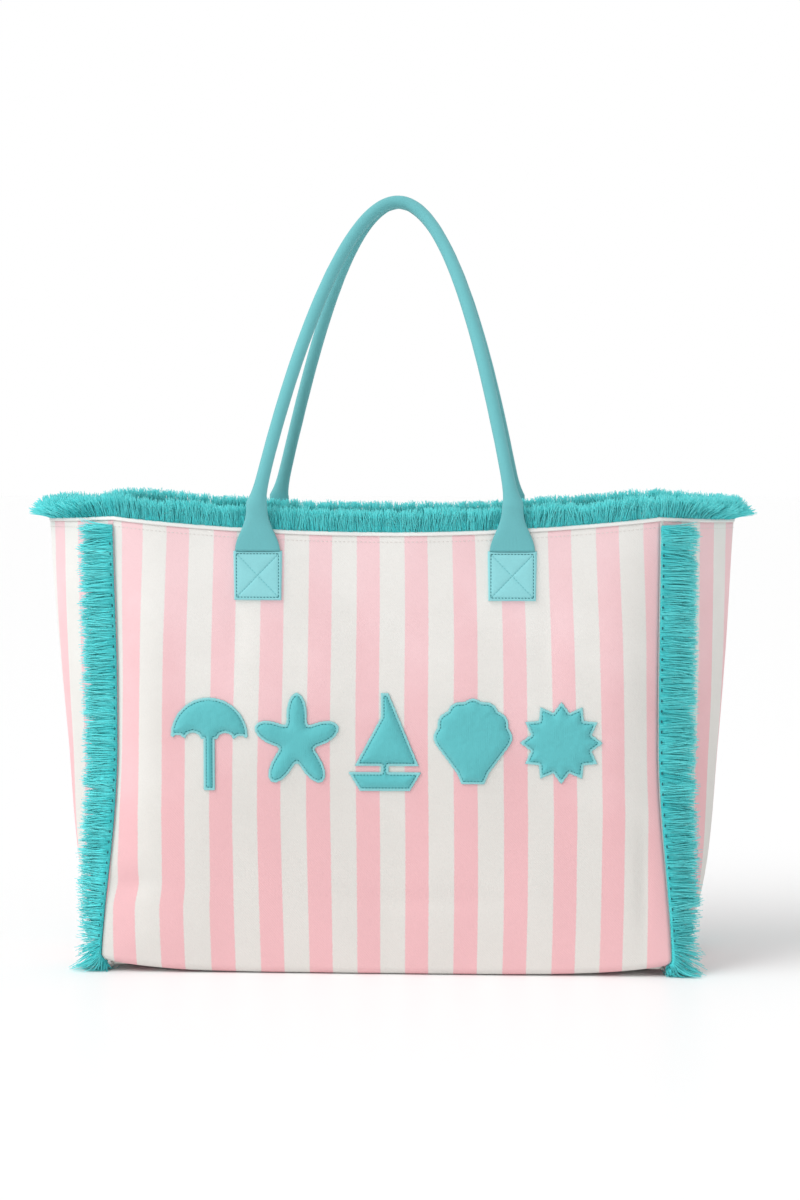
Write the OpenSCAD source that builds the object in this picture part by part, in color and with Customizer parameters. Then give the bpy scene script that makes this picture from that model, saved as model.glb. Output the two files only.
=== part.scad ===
// Striped canvas beach tote with fringed rim and seams, rope handles and padded patches.
// Frame: +Z up, the front faces -Y, and the origin lies on the floor under the middle of the bag.

/* [Bag body] */
// Width of the front and back panels between the side seams, at the rim
panel_w = 434; // [380:2:560]
// Width of the front and back panels at the base
base_w = 456; // [390:2:580]
// Height of the side seams above the floor
seam_h = 364; // [280:2:480]
// Depth of the bag at the base, front to back
base_d = 164; // [120:2:240]
// Depth of the bag at the rim, front to back, on the line of the handles
rim_d = 174; // [130:2:260]
// How far each side panel bulges past its seams at the rim
rim_bulge = 65; // [30:1:90]
// How far each side panel bulges past its seams low on the bag
belly_bulge = 38; // [15:1:60]
// How far each side panel bulges past its seams at the base
base_bulge = 8; // [4:1:20]
// How far the rim sags in the middle of the front and back
rim_sag = 12; // [0:1:24]
// How far the rim sags in the middle of each side
side_sag = 6; // [0:1:16]
// How far the panels' side edges curl back at the rim
rim_curl = 6; // [0:1:14]
// How much further the panels' side edges curl back at half height
mid_curl = 15; // [0:1:22]
// Radius of the soft edge between the walls and the base
edge_r = 10; // [6:1:16]

/* [Cloth] */
// Thickness of the striped canvas
canvas_t = 1.5; // [0.8:0.1:2]
// Thickness of the lining cloth
lining_t = 0.6; // [0.4:0.1:1]
// Thickness of the backing cloth behind each handle tab
backing_t = 0.8; // [0.4:0.1:1.2]
// Thickness of the base board
board_t = 2.5; // [1.5:0.5:4]
// Height of the rim binding
binding_h = 2.4; // [1.5:0.1:5]
// Gap between cloths that lie on each other
cloth_gap = 0.15; // [0.1:0.05:0.3]

/* [Fringe] */
// Height of the fringe that stands on the rim
rim_fringe_h = 21; // [10:1:32]
// How far the rim fringe splays outward in the middle of each side
fringe_splay = 9; // [0:1:14]
// Width of the fringe down each side seam, as a share of half the side panel
seam_fringe_part = 0.28; // [0.16:0.02:0.4]
// Thickness of the fringe down each side seam
seam_fringe_t = 5; // [3:0.5:8]

/* [Handles] */
// Distance between the middles of the two tabs of one handle
handle_spacing = 201; // [150:1:250]
// Height of the middle of the rope at the top of the handles, above the top of the side seams
handle_rise = 254; // [170:2:340]
// How far the top of both handles leans to the right
handle_sway = 6; // [-10:1:10]
// Outer diameter of the rolled handle
handle_dia = 10.5; // [9:0.5:18]
// Thickness of the rolled handle's cloth
sleeve_t = 1.4; // [0.8:0.1:2]
// Width of a handle tab
tab_w = 38; // [28:1:50]
// Height of a handle tab
tab_h = 39; // [28:1:56]
// Thickness of a handle tab
tab_t = 2.4; // [1.5:0.1:3]
// How far the top edge of a handle tab lies below the top of the side seams
tab_drop = 25; // [21:1:50]
// How far a handle that is folded down stays clear of the threads on its tabs
fold_clear = 0.25; // [0.1:0.05:1]
// Height of the flare between a tab and the round handle
flare_h = 38; // [28:1:60]

/* [Patches] */
// How far the middle of the row of patches lies below the top of the side seams
patch_drop = 177; // [160:1:190]
// Space between the row of patches and each side seam, at the rim's width
patch_margin = 42.5; // [30:0.5:50]
// Thickness of a patch
patch_t = 4; // [2.5:0.1:6]
// Width of the flat stitched edge of a patch
patch_edge = 3.5; // [2:0.1:5]

/* [Hidden] */

// Share of the panel's half width over which its side edges curl back
curl_zone = 0.2;
// Roundness of the side panels' plan curve
bulge_power = 1.7;
// How fast the side panels swell just above the base
swell_power = 6;
// Inset of the lining's outer face from the canvas's outer face
lining_in = canvas_t + backing_t + 2 * cloth_gap;
// Inset of the innermost face of the walls
wall_in = lining_in + lining_t;
// Angle by which the front and back lean outward
lean = atan((rim_d - base_d) / 2 / seam_h);
// Gap between the canvas and what is sewn on its outside
sewn_gap = 0.3;
// Gap between a tab's top edge and the flare above it
fold_gap = 0.5;
// Height of the threads on a tab
thread_h = 0.35;
// Width of a thread on a tab
thread_w = 0.9;
// Inset of a tab's stitched border
thread_in = 3.5;
// Gap between the two handles where they lean together
apex_gap = 0.7;
// Gap between a handle and the front or back panel
handle_gap = 0.4;
// Gap between the rope and the cloth rolled round it
rope_gap = 0.2;
// How much narrower than its tab a flare is, on each side
flare_inset = 0.5;
// How far each cloth stops short of the seam where it meets the next one
seam_gap = 0.1;
// How far the base board and the bottom lining stop short of the walls' lining
board_gap = 1.5;
// How far the rim binding stands out past the cloths that it covers, on each side
binding_over = 0.2;
// Inset of the rim fringe from the canvas's outer face
fringe_inset = 0.4;
// How much further in the rim fringe reaches at its tips
fringe_lean = 2;
// Height of the lower end of the seam fringes above the floor
fringe_foot = 2;
// How far the seam fringes stop below the rim
fringe_head = 4;
// Thickness of the cloth over the patches' pads
cover_t = 1;
// Length of the cut corners of a tab
tab_clip = 1.5;
handle_r = handle_dia / 2;
rope_r = handle_r - sleeve_t - rope_gap;
handle_top = seam_h + handle_rise;
tab_top = seam_h - tab_drop;
fold_z = tab_top + fold_gap;
flare_top = fold_z + flare_h;
// Thickness of a flare at its flat end: it folds down clear of the tab and its threads
flare_t = tab_t + thread_h + fold_clear;
patch_z = seam_h - patch_drop;
patch_count = 5;
patch_pitch = (panel_w - 2 * patch_margin) / patch_count;
// The outlines of the patches are drawn for this pitch and scaled to the real one
drawn_pitch = 69;
// Facets along and up the canvas walls, and up the lining
wall_columns = 20;
wall_rows = 12;
lining_rows = 8;
// How much the rows of facets crowd toward the base
row_crowding = 1.8;
// Short steps used to measure the direction of the outline and of the handles
outline_step = 0.004;
arch_step = 0.01;
pink = [0.96, 0.76, 0.80];
cream = [0.93, 0.92, 0.89];
aqua = [0.40, 0.76, 0.78];
deep_aqua = [0.22, 0.74, 0.75];
thread = [0.20, 0.50, 0.54];

function lerp(a, b, k) = a + (b - a) * k;
function ease(k) = k * k * (3 - 2 * k);
function unit(v) = v / norm(v);

// Wall of the bag: height share, and the parts of its plan outline at height z
function share(z) = min(1, max(0, z / seam_h));
function seam_x(z) = lerp(base_w, panel_w, ease(min(1, 2 * share(z)))) / 2;
function panel_y(z) = (base_d + (rim_d - base_d) * z / seam_h) / 2;
function curl(z) = rim_curl * share(z) + mid_curl * sin(180 * share(z));
function seam_y(z) = panel_y(z) - curl(z);
function swell(z) = 1 - pow(1 - share(z), swell_power);
function bulge(z) = lerp(base_bulge, lerp(belly_bulge, rim_bulge, share(z)), swell(z));
function tuck(z) = z < edge_r ? edge_r - sqrt(edge_r * edge_r - (edge_r - z) * (edge_r - z)) : 0;
function edge_share(u) = max(0, (abs(u) - 1 + curl_zone) / curl_zone);
function front_xy(u, z) = [u * seam_x(z), curl(z) * pow(edge_share(u), 2) - panel_y(z)];
function side_xy(v, z) = [seam_x(z) + bulge(z) * (1 - pow(abs(v), bulge_power)), v * seam_y(z)];

// Plan outline, counter-clockwise: s runs 0-1 front, 1-2 right, 2-3 back, 3-4 left
function across(s) = sin(180 * (s - floor(s)) - 90);
function along(s) = 2 * (s - floor(s)) - 1;
function wall_xy(s, z) =
    s < 0 ? wall_xy(s + 4, z)
    : s < 1 ? front_xy(across(s), z)
    : s < 2 ? side_xy(along(s), z)
    : s < 4 ? -wall_xy(s - 2, z)
    : wall_xy(s - 4, z);
function inward(a, b) = unit([a[1] - b[1], b[0] - a[0]]);
function wall_in_xy(s, z, d) =
    let (p = wall_xy(s, z))
    let (n1 = inward(wall_xy(s - outline_step, z), p))
    let (n2 = inward(p, wall_xy(s + outline_step, z)))
    p + (d + tuck(z)) * (n1 + n2) / (1 + n1 * n2);
function wall_point(s, z, d) = let (p = wall_in_xy(s, z, d)) [p[0], p[1], z];
function side_middle(s) = 1 - pow(along(s), 2);
function rim_z(s) =
    floor(s) % 2 == 0 ? seam_h - rim_sag * (1 - pow(across(s), 2))
    : seam_h - side_sag * side_middle(s);

// A closed sheet of cloth from s0 to s1: place(s, k, q) gives a point at height share k,
// on its outer face where q is 0 and on its inner face where q is 1
module sheet(s0, s1, n, m, place) {
    laid = [
        for (i = [0:n])
            for (j = [0:m])
                for (q = [0, 1])
                    place(lerp(s0, s1, i / n), j / m, q)
    ];
    function at(i, j, q) = (i * (m + 1) + j) * 2 + q;
    function short_of_seam(i, j, q) =
        let (p = laid[at(i, j, q)])
        let (next = laid[at(i == 0 ? 1 : n - 1, j, q)])
        p + seam_gap * unit(next - p);
    points = [
        for (i = [0:n])
            for (j = [0:m])
                for (q = [0, 1])
                    i == 0 || i == n ? short_of_seam(i, j, q) : laid[at(i, j, q)]
    ];
    skins = [
        for (i = [0:n - 1])
            for (j = [0:m - 1])
                each [
                    [at(i, j, 0), at(i, j + 1, 0), at(i + 1, j + 1, 0)],
                    [at(i, j, 0), at(i + 1, j + 1, 0), at(i + 1, j, 0)],
                    [at(i, j, 1), at(i + 1, j + 1, 1), at(i, j + 1, 1)],
                    [at(i, j, 1), at(i + 1, j, 1), at(i + 1, j + 1, 1)]
                ]
    ];
    long_edges = [
        for (i = [0:n - 1])
            each [
                [at(i, m, 0), at(i, m, 1), at(i + 1, m, 1)],
                [at(i, m, 0), at(i + 1, m, 1), at(i + 1, m, 0)],
                [at(i, 0, 0), at(i + 1, 0, 1), at(i, 0, 1)],
                [at(i, 0, 0), at(i + 1, 0, 0), at(i + 1, 0, 1)]
            ]
    ];
    short_edges = [
        for (j = [0:m - 1])
            each [
                [at(0, j, 1), at(0, j + 1, 1), at(0, j + 1, 0)],
                [at(0, j, 1), at(0, j + 1, 0), at(0, j, 0)],
                [at(n, j, 0), at(n, j + 1, 0), at(n, j + 1, 1)],
                [at(n, j, 0), at(n, j + 1, 1), at(n, j, 1)]
            ]
    ];
    polyhedron(points, concat(skins, long_edges, short_edges), convexity = 6);
}

// A wall cloth from height z0 to the rim, between two insets
module wall_cloth(s0, z0, outer, inner, rows) {
    sheet(s0, s0 + 1, wall_columns, rows, function (s, k, q)
        let (z = lerp(z0, rim_z(s), pow(k, row_crowding)))
        wall_point(s, z, q == 0 ? outer : inner));
}

module canvas_wall(s0) {
    wall_cloth(s0, canvas_t, 0, canvas_t, wall_rows);
}

module lining_wall(s0) {
    wall_cloth(s0, canvas_t + cloth_gap, lining_in, wall_in, lining_rows);
}

module front_panel() {
    color(pink) canvas_wall(0);
}

module right_side_panel() {
    color(cream) canvas_wall(1);
}

module back_panel() {
    color(pink) canvas_wall(2);
}

module left_side_panel() {
    color(cream) canvas_wall(3);
}

module front_lining() {
    color("white") lining_wall(0);
}

module right_lining() {
    color("white") lining_wall(1);
}

module back_lining() {
    color("white") lining_wall(2);
}

module left_lining() {
    color("white") lining_wall(3);
}

// Plan outline at height z, inset by d, with straight front and back edges
function floor_outline(z, d) = [
    for (run = [0:3])
        each run % 2 == 0 ? [wall_in_xy(run, z, d)]
        : [for (i = [0:11]) wall_in_xy(run + i / 12, z, d)]
];

// A flat sheet at height z that fills the inside of the bag just above the base
module floor_sheet(z, thickness) {
    translate([0, 0, z])
        linear_extrude(thickness)
            polygon(floor_outline(board_z, wall_in + board_gap));
}

module bottom_panel() {
    color(pink)
        linear_extrude(canvas_t)
            polygon(floor_outline(canvas_t, 0));
}

board_z = canvas_t + cloth_gap;
bottom_lining_z = board_z + board_t + cloth_gap;

module base_board() {
    color("tan") floor_sheet(board_z, board_t);
}

module bottom_lining() {
    color("white") floor_sheet(bottom_lining_z, lining_t);
}

// A band on one run of the rim: place(k, q) gives [height above the rim, inset, share of the splay]
module rim_band(s0, rows, place) {
    sheet(s0, s0 + 1, wall_columns, rows, function (s, k, q)
        let (h = place(k, q))
        let (splay = floor(s) % 2 == 0 ? 0 : side_middle(s) * fringe_splay * h[2])
        wall_point(s, rim_z(s), h[1] - splay) + [0, 0, h[0]]);
}

module rim_binding() {
    color("white")
        for (s0 = [0:3])
            rim_band(s0, 1, function (k, q)
                [k * binding_h, q == 0 ? -binding_over : wall_in + binding_over, 0]);
}

module rim_fringe(s0) {
    rim_band(s0, 3, function (k, q)
        [binding_h + k * rim_fringe_h, q == 0 ? fringe_inset : wall_in + fringe_lean * k, k]);
}

module front_rim_fringe() {
    color(deep_aqua) rim_fringe(0);
}

module right_rim_fringe() {
    color(deep_aqua) rim_fringe(1);
}

module back_rim_fringe() {
    color(deep_aqua) rim_fringe(2);
}

module left_rim_fringe() {
    color(deep_aqua) rim_fringe(3);
}

// Fringe down a seam, lying back on the side panel
module seam_fringe(s0, s1) {
    sheet(s0, s1, 4, 12, function (s, k, q)
        let (z = lerp(fringe_foot, rim_z(s) - fringe_head, pow(k, row_crowding)))
        wall_point(s, z, q == 0 ? -sewn_gap - seam_fringe_t : -sewn_gap));
}

fringe_run = seam_fringe_part / 2;

module front_right_seam_fringe() {
    color(deep_aqua) seam_fringe(1, 1 + fringe_run);
}

module back_right_seam_fringe() {
    color(deep_aqua) seam_fringe(2 - fringe_run, 2);
}

module back_left_seam_fringe() {
    color(deep_aqua) seam_fringe(3, 3 + fringe_run);
}

module front_left_seam_fringe() {
    color(deep_aqua) seam_fringe(4 - fringe_run, 4);
}

// Puts what is drawn at y = 0 on the outside of the leaning front panel
module on_front() {
    translate([0, -base_d / 2, 0])
        rotate([lean, 0, 0])
            children();
}

module on_back() {
    rotate([0, 0, 180])
        on_front()
            children();
}

// A flat piece with two cut corners, standing with its back at y = back
module tab_plate(side, thickness, back) {
    w = tab_w / 2;
    h = tab_h / 2;
    translate([side * handle_spacing / 2, back, tab_top - h])
        rotate([90, 0, 0])
            linear_extrude(thickness)
                polygon([
                    [-w + tab_clip, -h], [w - tab_clip, -h], [w, -h + tab_clip],
                    [w, h], [-w, h], [-w, -h + tab_clip]
                ]);
}

module tab(side) {
    color(aqua) tab_plate(side, tab_t, -sewn_gap);
}

module backing(side) {
    color("white") tab_plate(side, backing_t, canvas_t + cloth_gap + backing_t);
}

module front_left_tab() {
    on_front() tab(-1);
}

module front_right_tab() {
    on_front() tab(1);
}

module rear_left_tab() {
    on_back() tab(1);
}

module rear_right_tab() {
    on_back() tab(-1);
}

module front_left_backing() {
    on_front() backing(-1);
}

module front_right_backing() {
    on_front() backing(1);
}

module rear_left_backing() {
    on_back() backing(1);
}

module rear_right_backing() {
    on_back() backing(-1);
}

// Threads of one tab: a border and a cross, lying on the tab's face
module box_and_cross() {
    w = tab_w - 2 * thread_in;
    h = tab_h - 2 * thread_in;
    slope = atan(h / w);
    cross_length = norm([w, h]) - 3 * thread_w;
    translate([0, -sewn_gap - tab_t, tab_top - tab_h / 2])
        rotate([90, 0, 0])
            linear_extrude(thread_h) {
                difference() {
                    square([w, h], center = true);
                    square([w - 2 * thread_w, h - 2 * thread_w], center = true);
                }
                for (turn = [-slope, slope])
                    rotate([0, 0, turn])
                        square([cross_length, thread_w], center = true);
            }
}

module tab_stitching() {
    color(thread)
        for (side = [-1, 1]) {
            on_front() translate([side * handle_spacing / 2, 0, 0]) box_and_cross();
            on_back() translate([side * handle_spacing / 2, 0, 0]) box_and_cross();
        }
}

// Handle: the arch is a parabola that leans in until the two handles meet.
// Along one handle k runs -1 to 1 over the arch, and past that down the two flares.
arch_y0 = panel_y(flare_top) + handle_gap + handle_r;
arch_y1 = handle_r + apex_gap / 2;
arch_drop = handle_top - flare_top;
arch_steps = 44;
flare_steps = 6;
function lean_in(z) = let (k = (z - flare_top) / arch_drop) k * k * (3 - k) / 2;
function arch_z(k) = handle_top - arch_drop * k * k;
function arch_x(k, sway) = handle_spacing / 2 * k + sway * (1 - k * k);
function arch_point(k, sway) =
    [arch_x(k, sway), -lerp(arch_y0, arch_y1, lean_in(arch_z(k))), arch_z(k)];
// Flare section at share f from the tab (0) to the round handle (1)
function flare_half_w(f) = lerp(tab_w / 2 - flare_inset, handle_r, ease(f));
function flare_half_t(f) = lerp(flare_t / 2, handle_r, f);
function flare_point(side, f) =
    let (z = lerp(fold_z, flare_top, f))
    [side * handle_spacing / 2, -(panel_y(z) + handle_gap + flare_half_t(f)), z];

function arch_tangent(k, sway) =
    unit(arch_point(k + arch_step, sway) - arch_point(k - arch_step, sway));
// Each station is [middle, direction, half width, half thickness]
function left_flare() = [
    for (i = [0:flare_steps - 1])
        let (f = i / flare_steps)
        [flare_point(-1, f), [0, 0, 1], flare_half_w(f), flare_half_t(f)]
];
function right_flare() = [
    for (i = [flare_steps - 1:-1:0])
        let (f = i / flare_steps)
        [flare_point(1, f), [0, 0, -1], flare_half_w(f), flare_half_t(f)]
];
function arch(sway) = [
    for (i = [0:arch_steps])
        let (k = 2 * i / arch_steps - 1)
        [arch_point(k, sway), arch_tangent(k, sway), handle_r, handle_r]
];

function ring_point(station, turn, inset) =
    let (wide = unit(cross([0, 1, 0], station[1])))
    let (deep = cross(station[1], wide))
    station[0] + wide * cos(turn) * (station[2] - inset) + deep * sin(turn) * (station[3] - inset);

// A tube through the stations; with a wall it is hollow and open at both ends
module sweep(stations, sides, wall) {
    n = len(stations);
    outer = [for (a = stations) for (j = [0:sides - 1]) ring_point(a, 360 * j / sides, 0)];
    inner = [for (a = stations) for (j = [0:sides - 1]) ring_point(a, 360 * j / sides, wall)];
    half = n * sides;
    function at(i, j) = i * sides + j % sides;
    outer_skin = [
        for (i = [0:n - 2])
            for (j = [0:sides - 1])
                each [
                    [at(i, j), at(i + 1, j), at(i + 1, j + 1)],
                    [at(i, j), at(i + 1, j + 1), at(i, j + 1)]
                ]
    ];
    inner_skin = [for (f = outer_skin) [half + f[0], half + f[2], half + f[1]]];
    rims = [
        for (j = [0:sides - 1])
            each [
                [at(0, j), at(0, j + 1), half + at(0, j + 1)],
                [at(0, j), half + at(0, j + 1), half + at(0, j)],
                [at(n - 1, j), half + at(n - 1, j + 1), at(n - 1, j + 1)],
                [at(n - 1, j), half + at(n - 1, j), half + at(n - 1, j + 1)]
            ]
    ];
    caps = [
        [for (j = [0:sides - 1]) at(0, j)],
        [for (j = [sides - 1:-1:0]) at(n - 1, j)]
    ];
    if (wall > 0)
        polyhedron(concat(outer, inner), concat(outer_skin, inner_skin, rims), convexity = 8);
    else
        polyhedron(outer, concat(outer_skin, caps), convexity = 8);
}

module handle_sleeve(sway) {
    color(aqua) sweep(concat(left_flare(), arch(sway), right_flare()), 12, sleeve_t);
}

module handle_rope(sway) {
    color("white")
        sweep([for (a = arch(sway)) [a[0], a[1], rope_r, rope_r]], 8, 0);
}

module front_handle_sleeve() {
    handle_sleeve(handle_sway);
}

module front_handle_rope() {
    handle_rope(handle_sway);
}

module rear_handle_sleeve() {
    rotate([0, 0, 180]) handle_sleeve(-handle_sway);
}

module rear_handle_rope() {
    rotate([0, 0, 180]) handle_rope(-handle_sway);
}

// Outlines of the patches, drawn for the drawn pitch and centred on their own middles
function arc(x, y, r, from, to, n) =
    [for (i = [0:n]) let (a = lerp(from, to, i / n)) [x + r * cos(a), y + r * sin(a)]];

// Parasol: a dome with a scalloped edge on a pole
function umbrella_outline() = concat(
    [[-4.5, -39], [4.5, -39], [4.5, 2]],
    arc(13, 0, 7, 165, 15, 4),
    arc(25, 0, 5, 150, 30, 3),
    [[31, 4]],
    arc(0, 4, 31, 12, 168, 14),
    [[-31, 4]],
    arc(-25, 0, 5, 150, 30, 3),
    arc(-13, 0, 7, 165, 15, 4),
    [[-4.5, 2]]
);

// Starfish: five round arms
function starfish_outline() = [
    for (i = [0:59])
        let (a = 6 * i)
        let (r = 25 + 10 * cos(5 * a))
        [r * sin(a), 1.12 * r * cos(a)]
];

// Sailing boat: a tall and a short sail over a hull
function sailboat_outline() = [
    [-20, -39], [20, -39], [29, -24], [3, -24], [3, -19], [27, -19], [3, 39], [-3, 39],
    [-3, 20], [-24, -19], [-3, -19], [-3, -24], [-29, -24]
];

// Scallop shell: a fan with a scalloped top over a small foot
function shell_outline() = concat(
    [[-9, -33], [9, -33], [13, -24]],
    [
        for (i = [0:48])
            let (a = lerp(-12, 192, i / 48))
            let (r = 30 + 2.2 * abs(sin(7 * 180 * i / 48)))
            [r * cos(a) * 0.97, 3 + r * sin(a)]
    ],
    [[-13, -24]]
);

// Sun: a disc with twelve pointed rays
function sun_outline() = [
    for (i = [0:23])
        let (r = i % 2 == 0 ? 33 : 25)
        [r * sin(15 * i), r * cos(15 * i)]
];

// Puts a flat outline on the front, in place number i of the row, from y = back outward
module on_patch_place(i, back, thickness) {
    on_front()
        translate([(i - (patch_count - 1) / 2) * patch_pitch, -back, patch_z])
            rotate([90, 0, 0])
                linear_extrude(thickness)
                    children();
}

// The outline at its real size, inset by d
module patch_outline(outline, d) {
    offset(delta = -d)
        polygon(outline * patch_pitch / drawn_pitch);
}

module patch_cover(i, outline) {
    color(aqua)
        difference() {
            on_patch_place(i, sewn_gap, patch_t)
                patch_outline(outline, 0);
            on_patch_place(i, sewn_gap - cover_t, patch_t)
                patch_outline(outline, patch_edge);
        }
}

module patch_pad(i, outline) {
    color("white")
        on_patch_place(i, sewn_gap, patch_t - cover_t - cloth_gap)
            patch_outline(outline, patch_edge + cloth_gap);
}

module umbrella_patch() {
    patch_cover(0, umbrella_outline());
}

module umbrella_pad() {
    patch_pad(0, umbrella_outline());
}

module starfish_patch() {
    patch_cover(1, starfish_outline());
}

module starfish_pad() {
    patch_pad(1, starfish_outline());
}

module sailboat_patch() {
    patch_cover(2, sailboat_outline());
}

module sailboat_pad() {
    patch_pad(2, sailboat_outline());
}

module shell_patch() {
    patch_cover(3, shell_outline());
}

module shell_pad() {
    patch_pad(3, shell_outline());
}

module sun_patch() {
    patch_cover(4, sun_outline());
}

module sun_pad() {
    patch_pad(4, sun_outline());
}

front_panel();
back_panel();
left_side_panel();
right_side_panel();
bottom_panel();
front_lining();
back_lining();
left_lining();
right_lining();
bottom_lining();
base_board();
rim_binding();
front_rim_fringe();
back_rim_fringe();
left_rim_fringe();
right_rim_fringe();
front_left_seam_fringe();
front_right_seam_fringe();
back_left_seam_fringe();
back_right_seam_fringe();
front_left_tab();
front_right_tab();
rear_left_tab();
rear_right_tab();
front_left_backing();
front_right_backing();
rear_left_backing();
rear_right_backing();
tab_stitching();
front_handle_sleeve();
front_handle_rope();
rear_handle_sleeve();
rear_handle_rope();
umbrella_patch();
starfish_patch();
sailboat_patch();
shell_patch();
sun_patch();
umbrella_pad();
starfish_pad();
sailboat_pad();
shell_pad();
sun_pad();
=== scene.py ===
import functools
import math
import random

import bmesh
import bpy
import numpy as np
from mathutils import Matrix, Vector, noise


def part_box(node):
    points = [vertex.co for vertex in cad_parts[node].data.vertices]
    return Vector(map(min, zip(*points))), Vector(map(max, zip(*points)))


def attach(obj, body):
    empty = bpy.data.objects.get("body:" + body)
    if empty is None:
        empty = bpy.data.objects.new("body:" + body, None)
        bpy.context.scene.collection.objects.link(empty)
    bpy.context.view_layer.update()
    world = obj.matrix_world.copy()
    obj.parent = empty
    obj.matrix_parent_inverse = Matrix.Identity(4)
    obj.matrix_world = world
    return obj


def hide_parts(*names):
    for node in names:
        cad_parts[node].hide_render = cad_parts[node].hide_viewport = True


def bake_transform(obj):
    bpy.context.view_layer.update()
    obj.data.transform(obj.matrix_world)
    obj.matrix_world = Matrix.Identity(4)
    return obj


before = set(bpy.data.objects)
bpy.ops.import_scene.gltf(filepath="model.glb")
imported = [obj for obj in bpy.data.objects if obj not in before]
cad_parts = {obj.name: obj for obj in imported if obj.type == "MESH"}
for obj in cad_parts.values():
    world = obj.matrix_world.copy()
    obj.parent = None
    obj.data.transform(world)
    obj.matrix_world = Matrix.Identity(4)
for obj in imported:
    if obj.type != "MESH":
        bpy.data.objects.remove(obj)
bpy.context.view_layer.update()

MM = 0.001
UP = Vector((0, 0, 1))

# ------------------------ shape of the bag, from the frame
SEAM_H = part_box("front_panel")[1].z
RIM_Y = -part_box("front_panel")[0].y
BASE_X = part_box("front_panel")[1].x
BASE_INSET = 4.7 * MM
BASE_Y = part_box("bottom_panel")[1].y + BASE_INSET
RIM_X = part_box("front_rim_fringe")[1].x
RIM_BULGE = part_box("right_side_panel")[1].x - RIM_X
TAB_LOW, TAB_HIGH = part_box("front_right_tab")
TAB_X = (TAB_LOW.x + TAB_HIGH.x) / 2
TAB_W = TAB_HIGH.x - TAB_LOW.x
TAB_TOP = TAB_HIGH.z
TAB_H = TAB_HIGH.z - TAB_LOW.z
ROPE_LOW, ROPE_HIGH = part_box("front_handle_rope")
SLEEVE_LOW, SLEEVE_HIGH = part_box("front_handle_sleeve")

BASE_BULGE = 8 * MM
BELLY_BULGE = 38 * MM
RIM_SAG = 12 * MM
SIDE_SAG = 3.5 * MM
RIM_CURL = 6 * MM
MID_CURL = 15 * MM
CURL_ZONE = 0.2
BULGE_POWER = 1.7
SWELL_POWER = 6
# How far the base's corners lift off the floor, and the soft edge round the base
CORNER_LIFT = 9 * MM
LIFT_POWER = 5
# The sides' lower edges lift by this share of it in their middle
SIDE_LIFT = 0.4
EDGE_R = 6 * MM
# How far the front and back swell out in their middle
BELLY = 3.5 * MM
CANVAS_T = 1.4 * MM
LINING_IN = 2.7 * MM
HEM_H = 26 * MM
BINDING_H = 2.4 * MM

FRONT, RIGHT, BACK, LEFT = range(4)
RUN_NAMES = {FRONT: "front", RIGHT: "right", BACK: "back", LEFT: "left"}


def is_wide(run):
    """True for the front and the back, false for the two sides."""
    return run % 2 == 0


def pick(run, wide, narrow):
    """The first value for the front and the back, the second for the two sides."""
    return wide if is_wide(run) else narrow


def mix(a, b, k):
    return a + (b - a) * k


def smooth(k):
    k = min(1.0, max(0.0, k))
    return k * k * (3 - 2 * k)


def share(z):
    return min(1.0, max(0.0, z / SEAM_H))


def seam_x(z):
    return mix(BASE_X, RIM_X, smooth(2 * share(z)))


def panel_y(z):
    return mix(BASE_Y, RIM_Y, z / SEAM_H)


def curl(z):
    return RIM_CURL * share(z) + MID_CURL * math.sin(math.pi * share(z))


def bulge(z):
    swell = 1 - (1 - share(z)) ** SWELL_POWER
    return mix(BASE_BULGE, mix(BELLY_BULGE, RIM_BULGE, share(z)), swell)


def edge_share(u):
    return max(0.0, (abs(u) - 1 + CURL_ZONE) / CURL_ZONE)


def wall_xy(run, a, z):
    """Plan point of the bag's outline at height z; a runs from -1 to 1 along each of the four runs."""
    if a > 1:
        return wall_xy((run + 1) % 4, a - 2, z)
    if a < -1:
        return wall_xy((run + 3) % 4, a + 2, z)
    if is_wide(run):
        p = Vector((a * seam_x(z), curl(z) * edge_share(a) ** 2 - panel_y(z)))
    else:
        reach = 1 - abs(a) ** BULGE_POWER
        p = Vector((seam_x(z) + bulge(z) * reach, a * (panel_y(z) - curl(z))))
    return p if run < 2 else -p


def rim_z(run, a):
    return SEAM_H - pick(run, RIM_SAG, SIDE_SAG) * (1 - a * a)


def floor_z(run, a):
    if is_wide(run):
        return CORNER_LIFT * abs(a) ** LIFT_POWER
    return CORNER_LIFT * mix(SIDE_LIFT, 1, a * a)


def tuck(h):
    """How far the wall pulls in at height h above its lower edge."""
    if h >= EDGE_R:
        return 0.0
    return EDGE_R - math.sqrt(max(0.0, EDGE_R ** 2 - (EDGE_R - h) ** 2))


# Depth of the cloth's broad waves and of its small creases, and how far from a tab it stays flat
WAVE = 3.0 * MM
CREASE = 1.1 * MM
TAB_HOLD = 70 * MM
# Dents pressed into the front: place, half width, half height and depth
DENTS = [
    (-205 * MM, 70 * MM, 17 * MM, 11 * MM, 3.4 * MM),
    (-190 * MM, 30 * MM, 22 * MM, 20 * MM, -1.6 * MM),
    (206 * MM, 75 * MM, 6 * MM, 46 * MM, 2.2 * MM),
    (-118 * MM, 285 * MM, 10 * MM, 40 * MM, 1.6 * MM),
    (128 * MM, 270 * MM, 12 * MM, 50 * MM, 1.6 * MM),
    (35 * MM, 60 * MM, 60 * MM, 9 * MM, 1.2 * MM),
]


def dents(x, z):
    depth = 0.0
    for middle_x, middle_z, half_w, half_h, deep in DENTS:
        depth += deep * math.exp(-((x - middle_x) / half_w) ** 2 - ((z - middle_z) / half_h) ** 2)
    return depth


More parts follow.
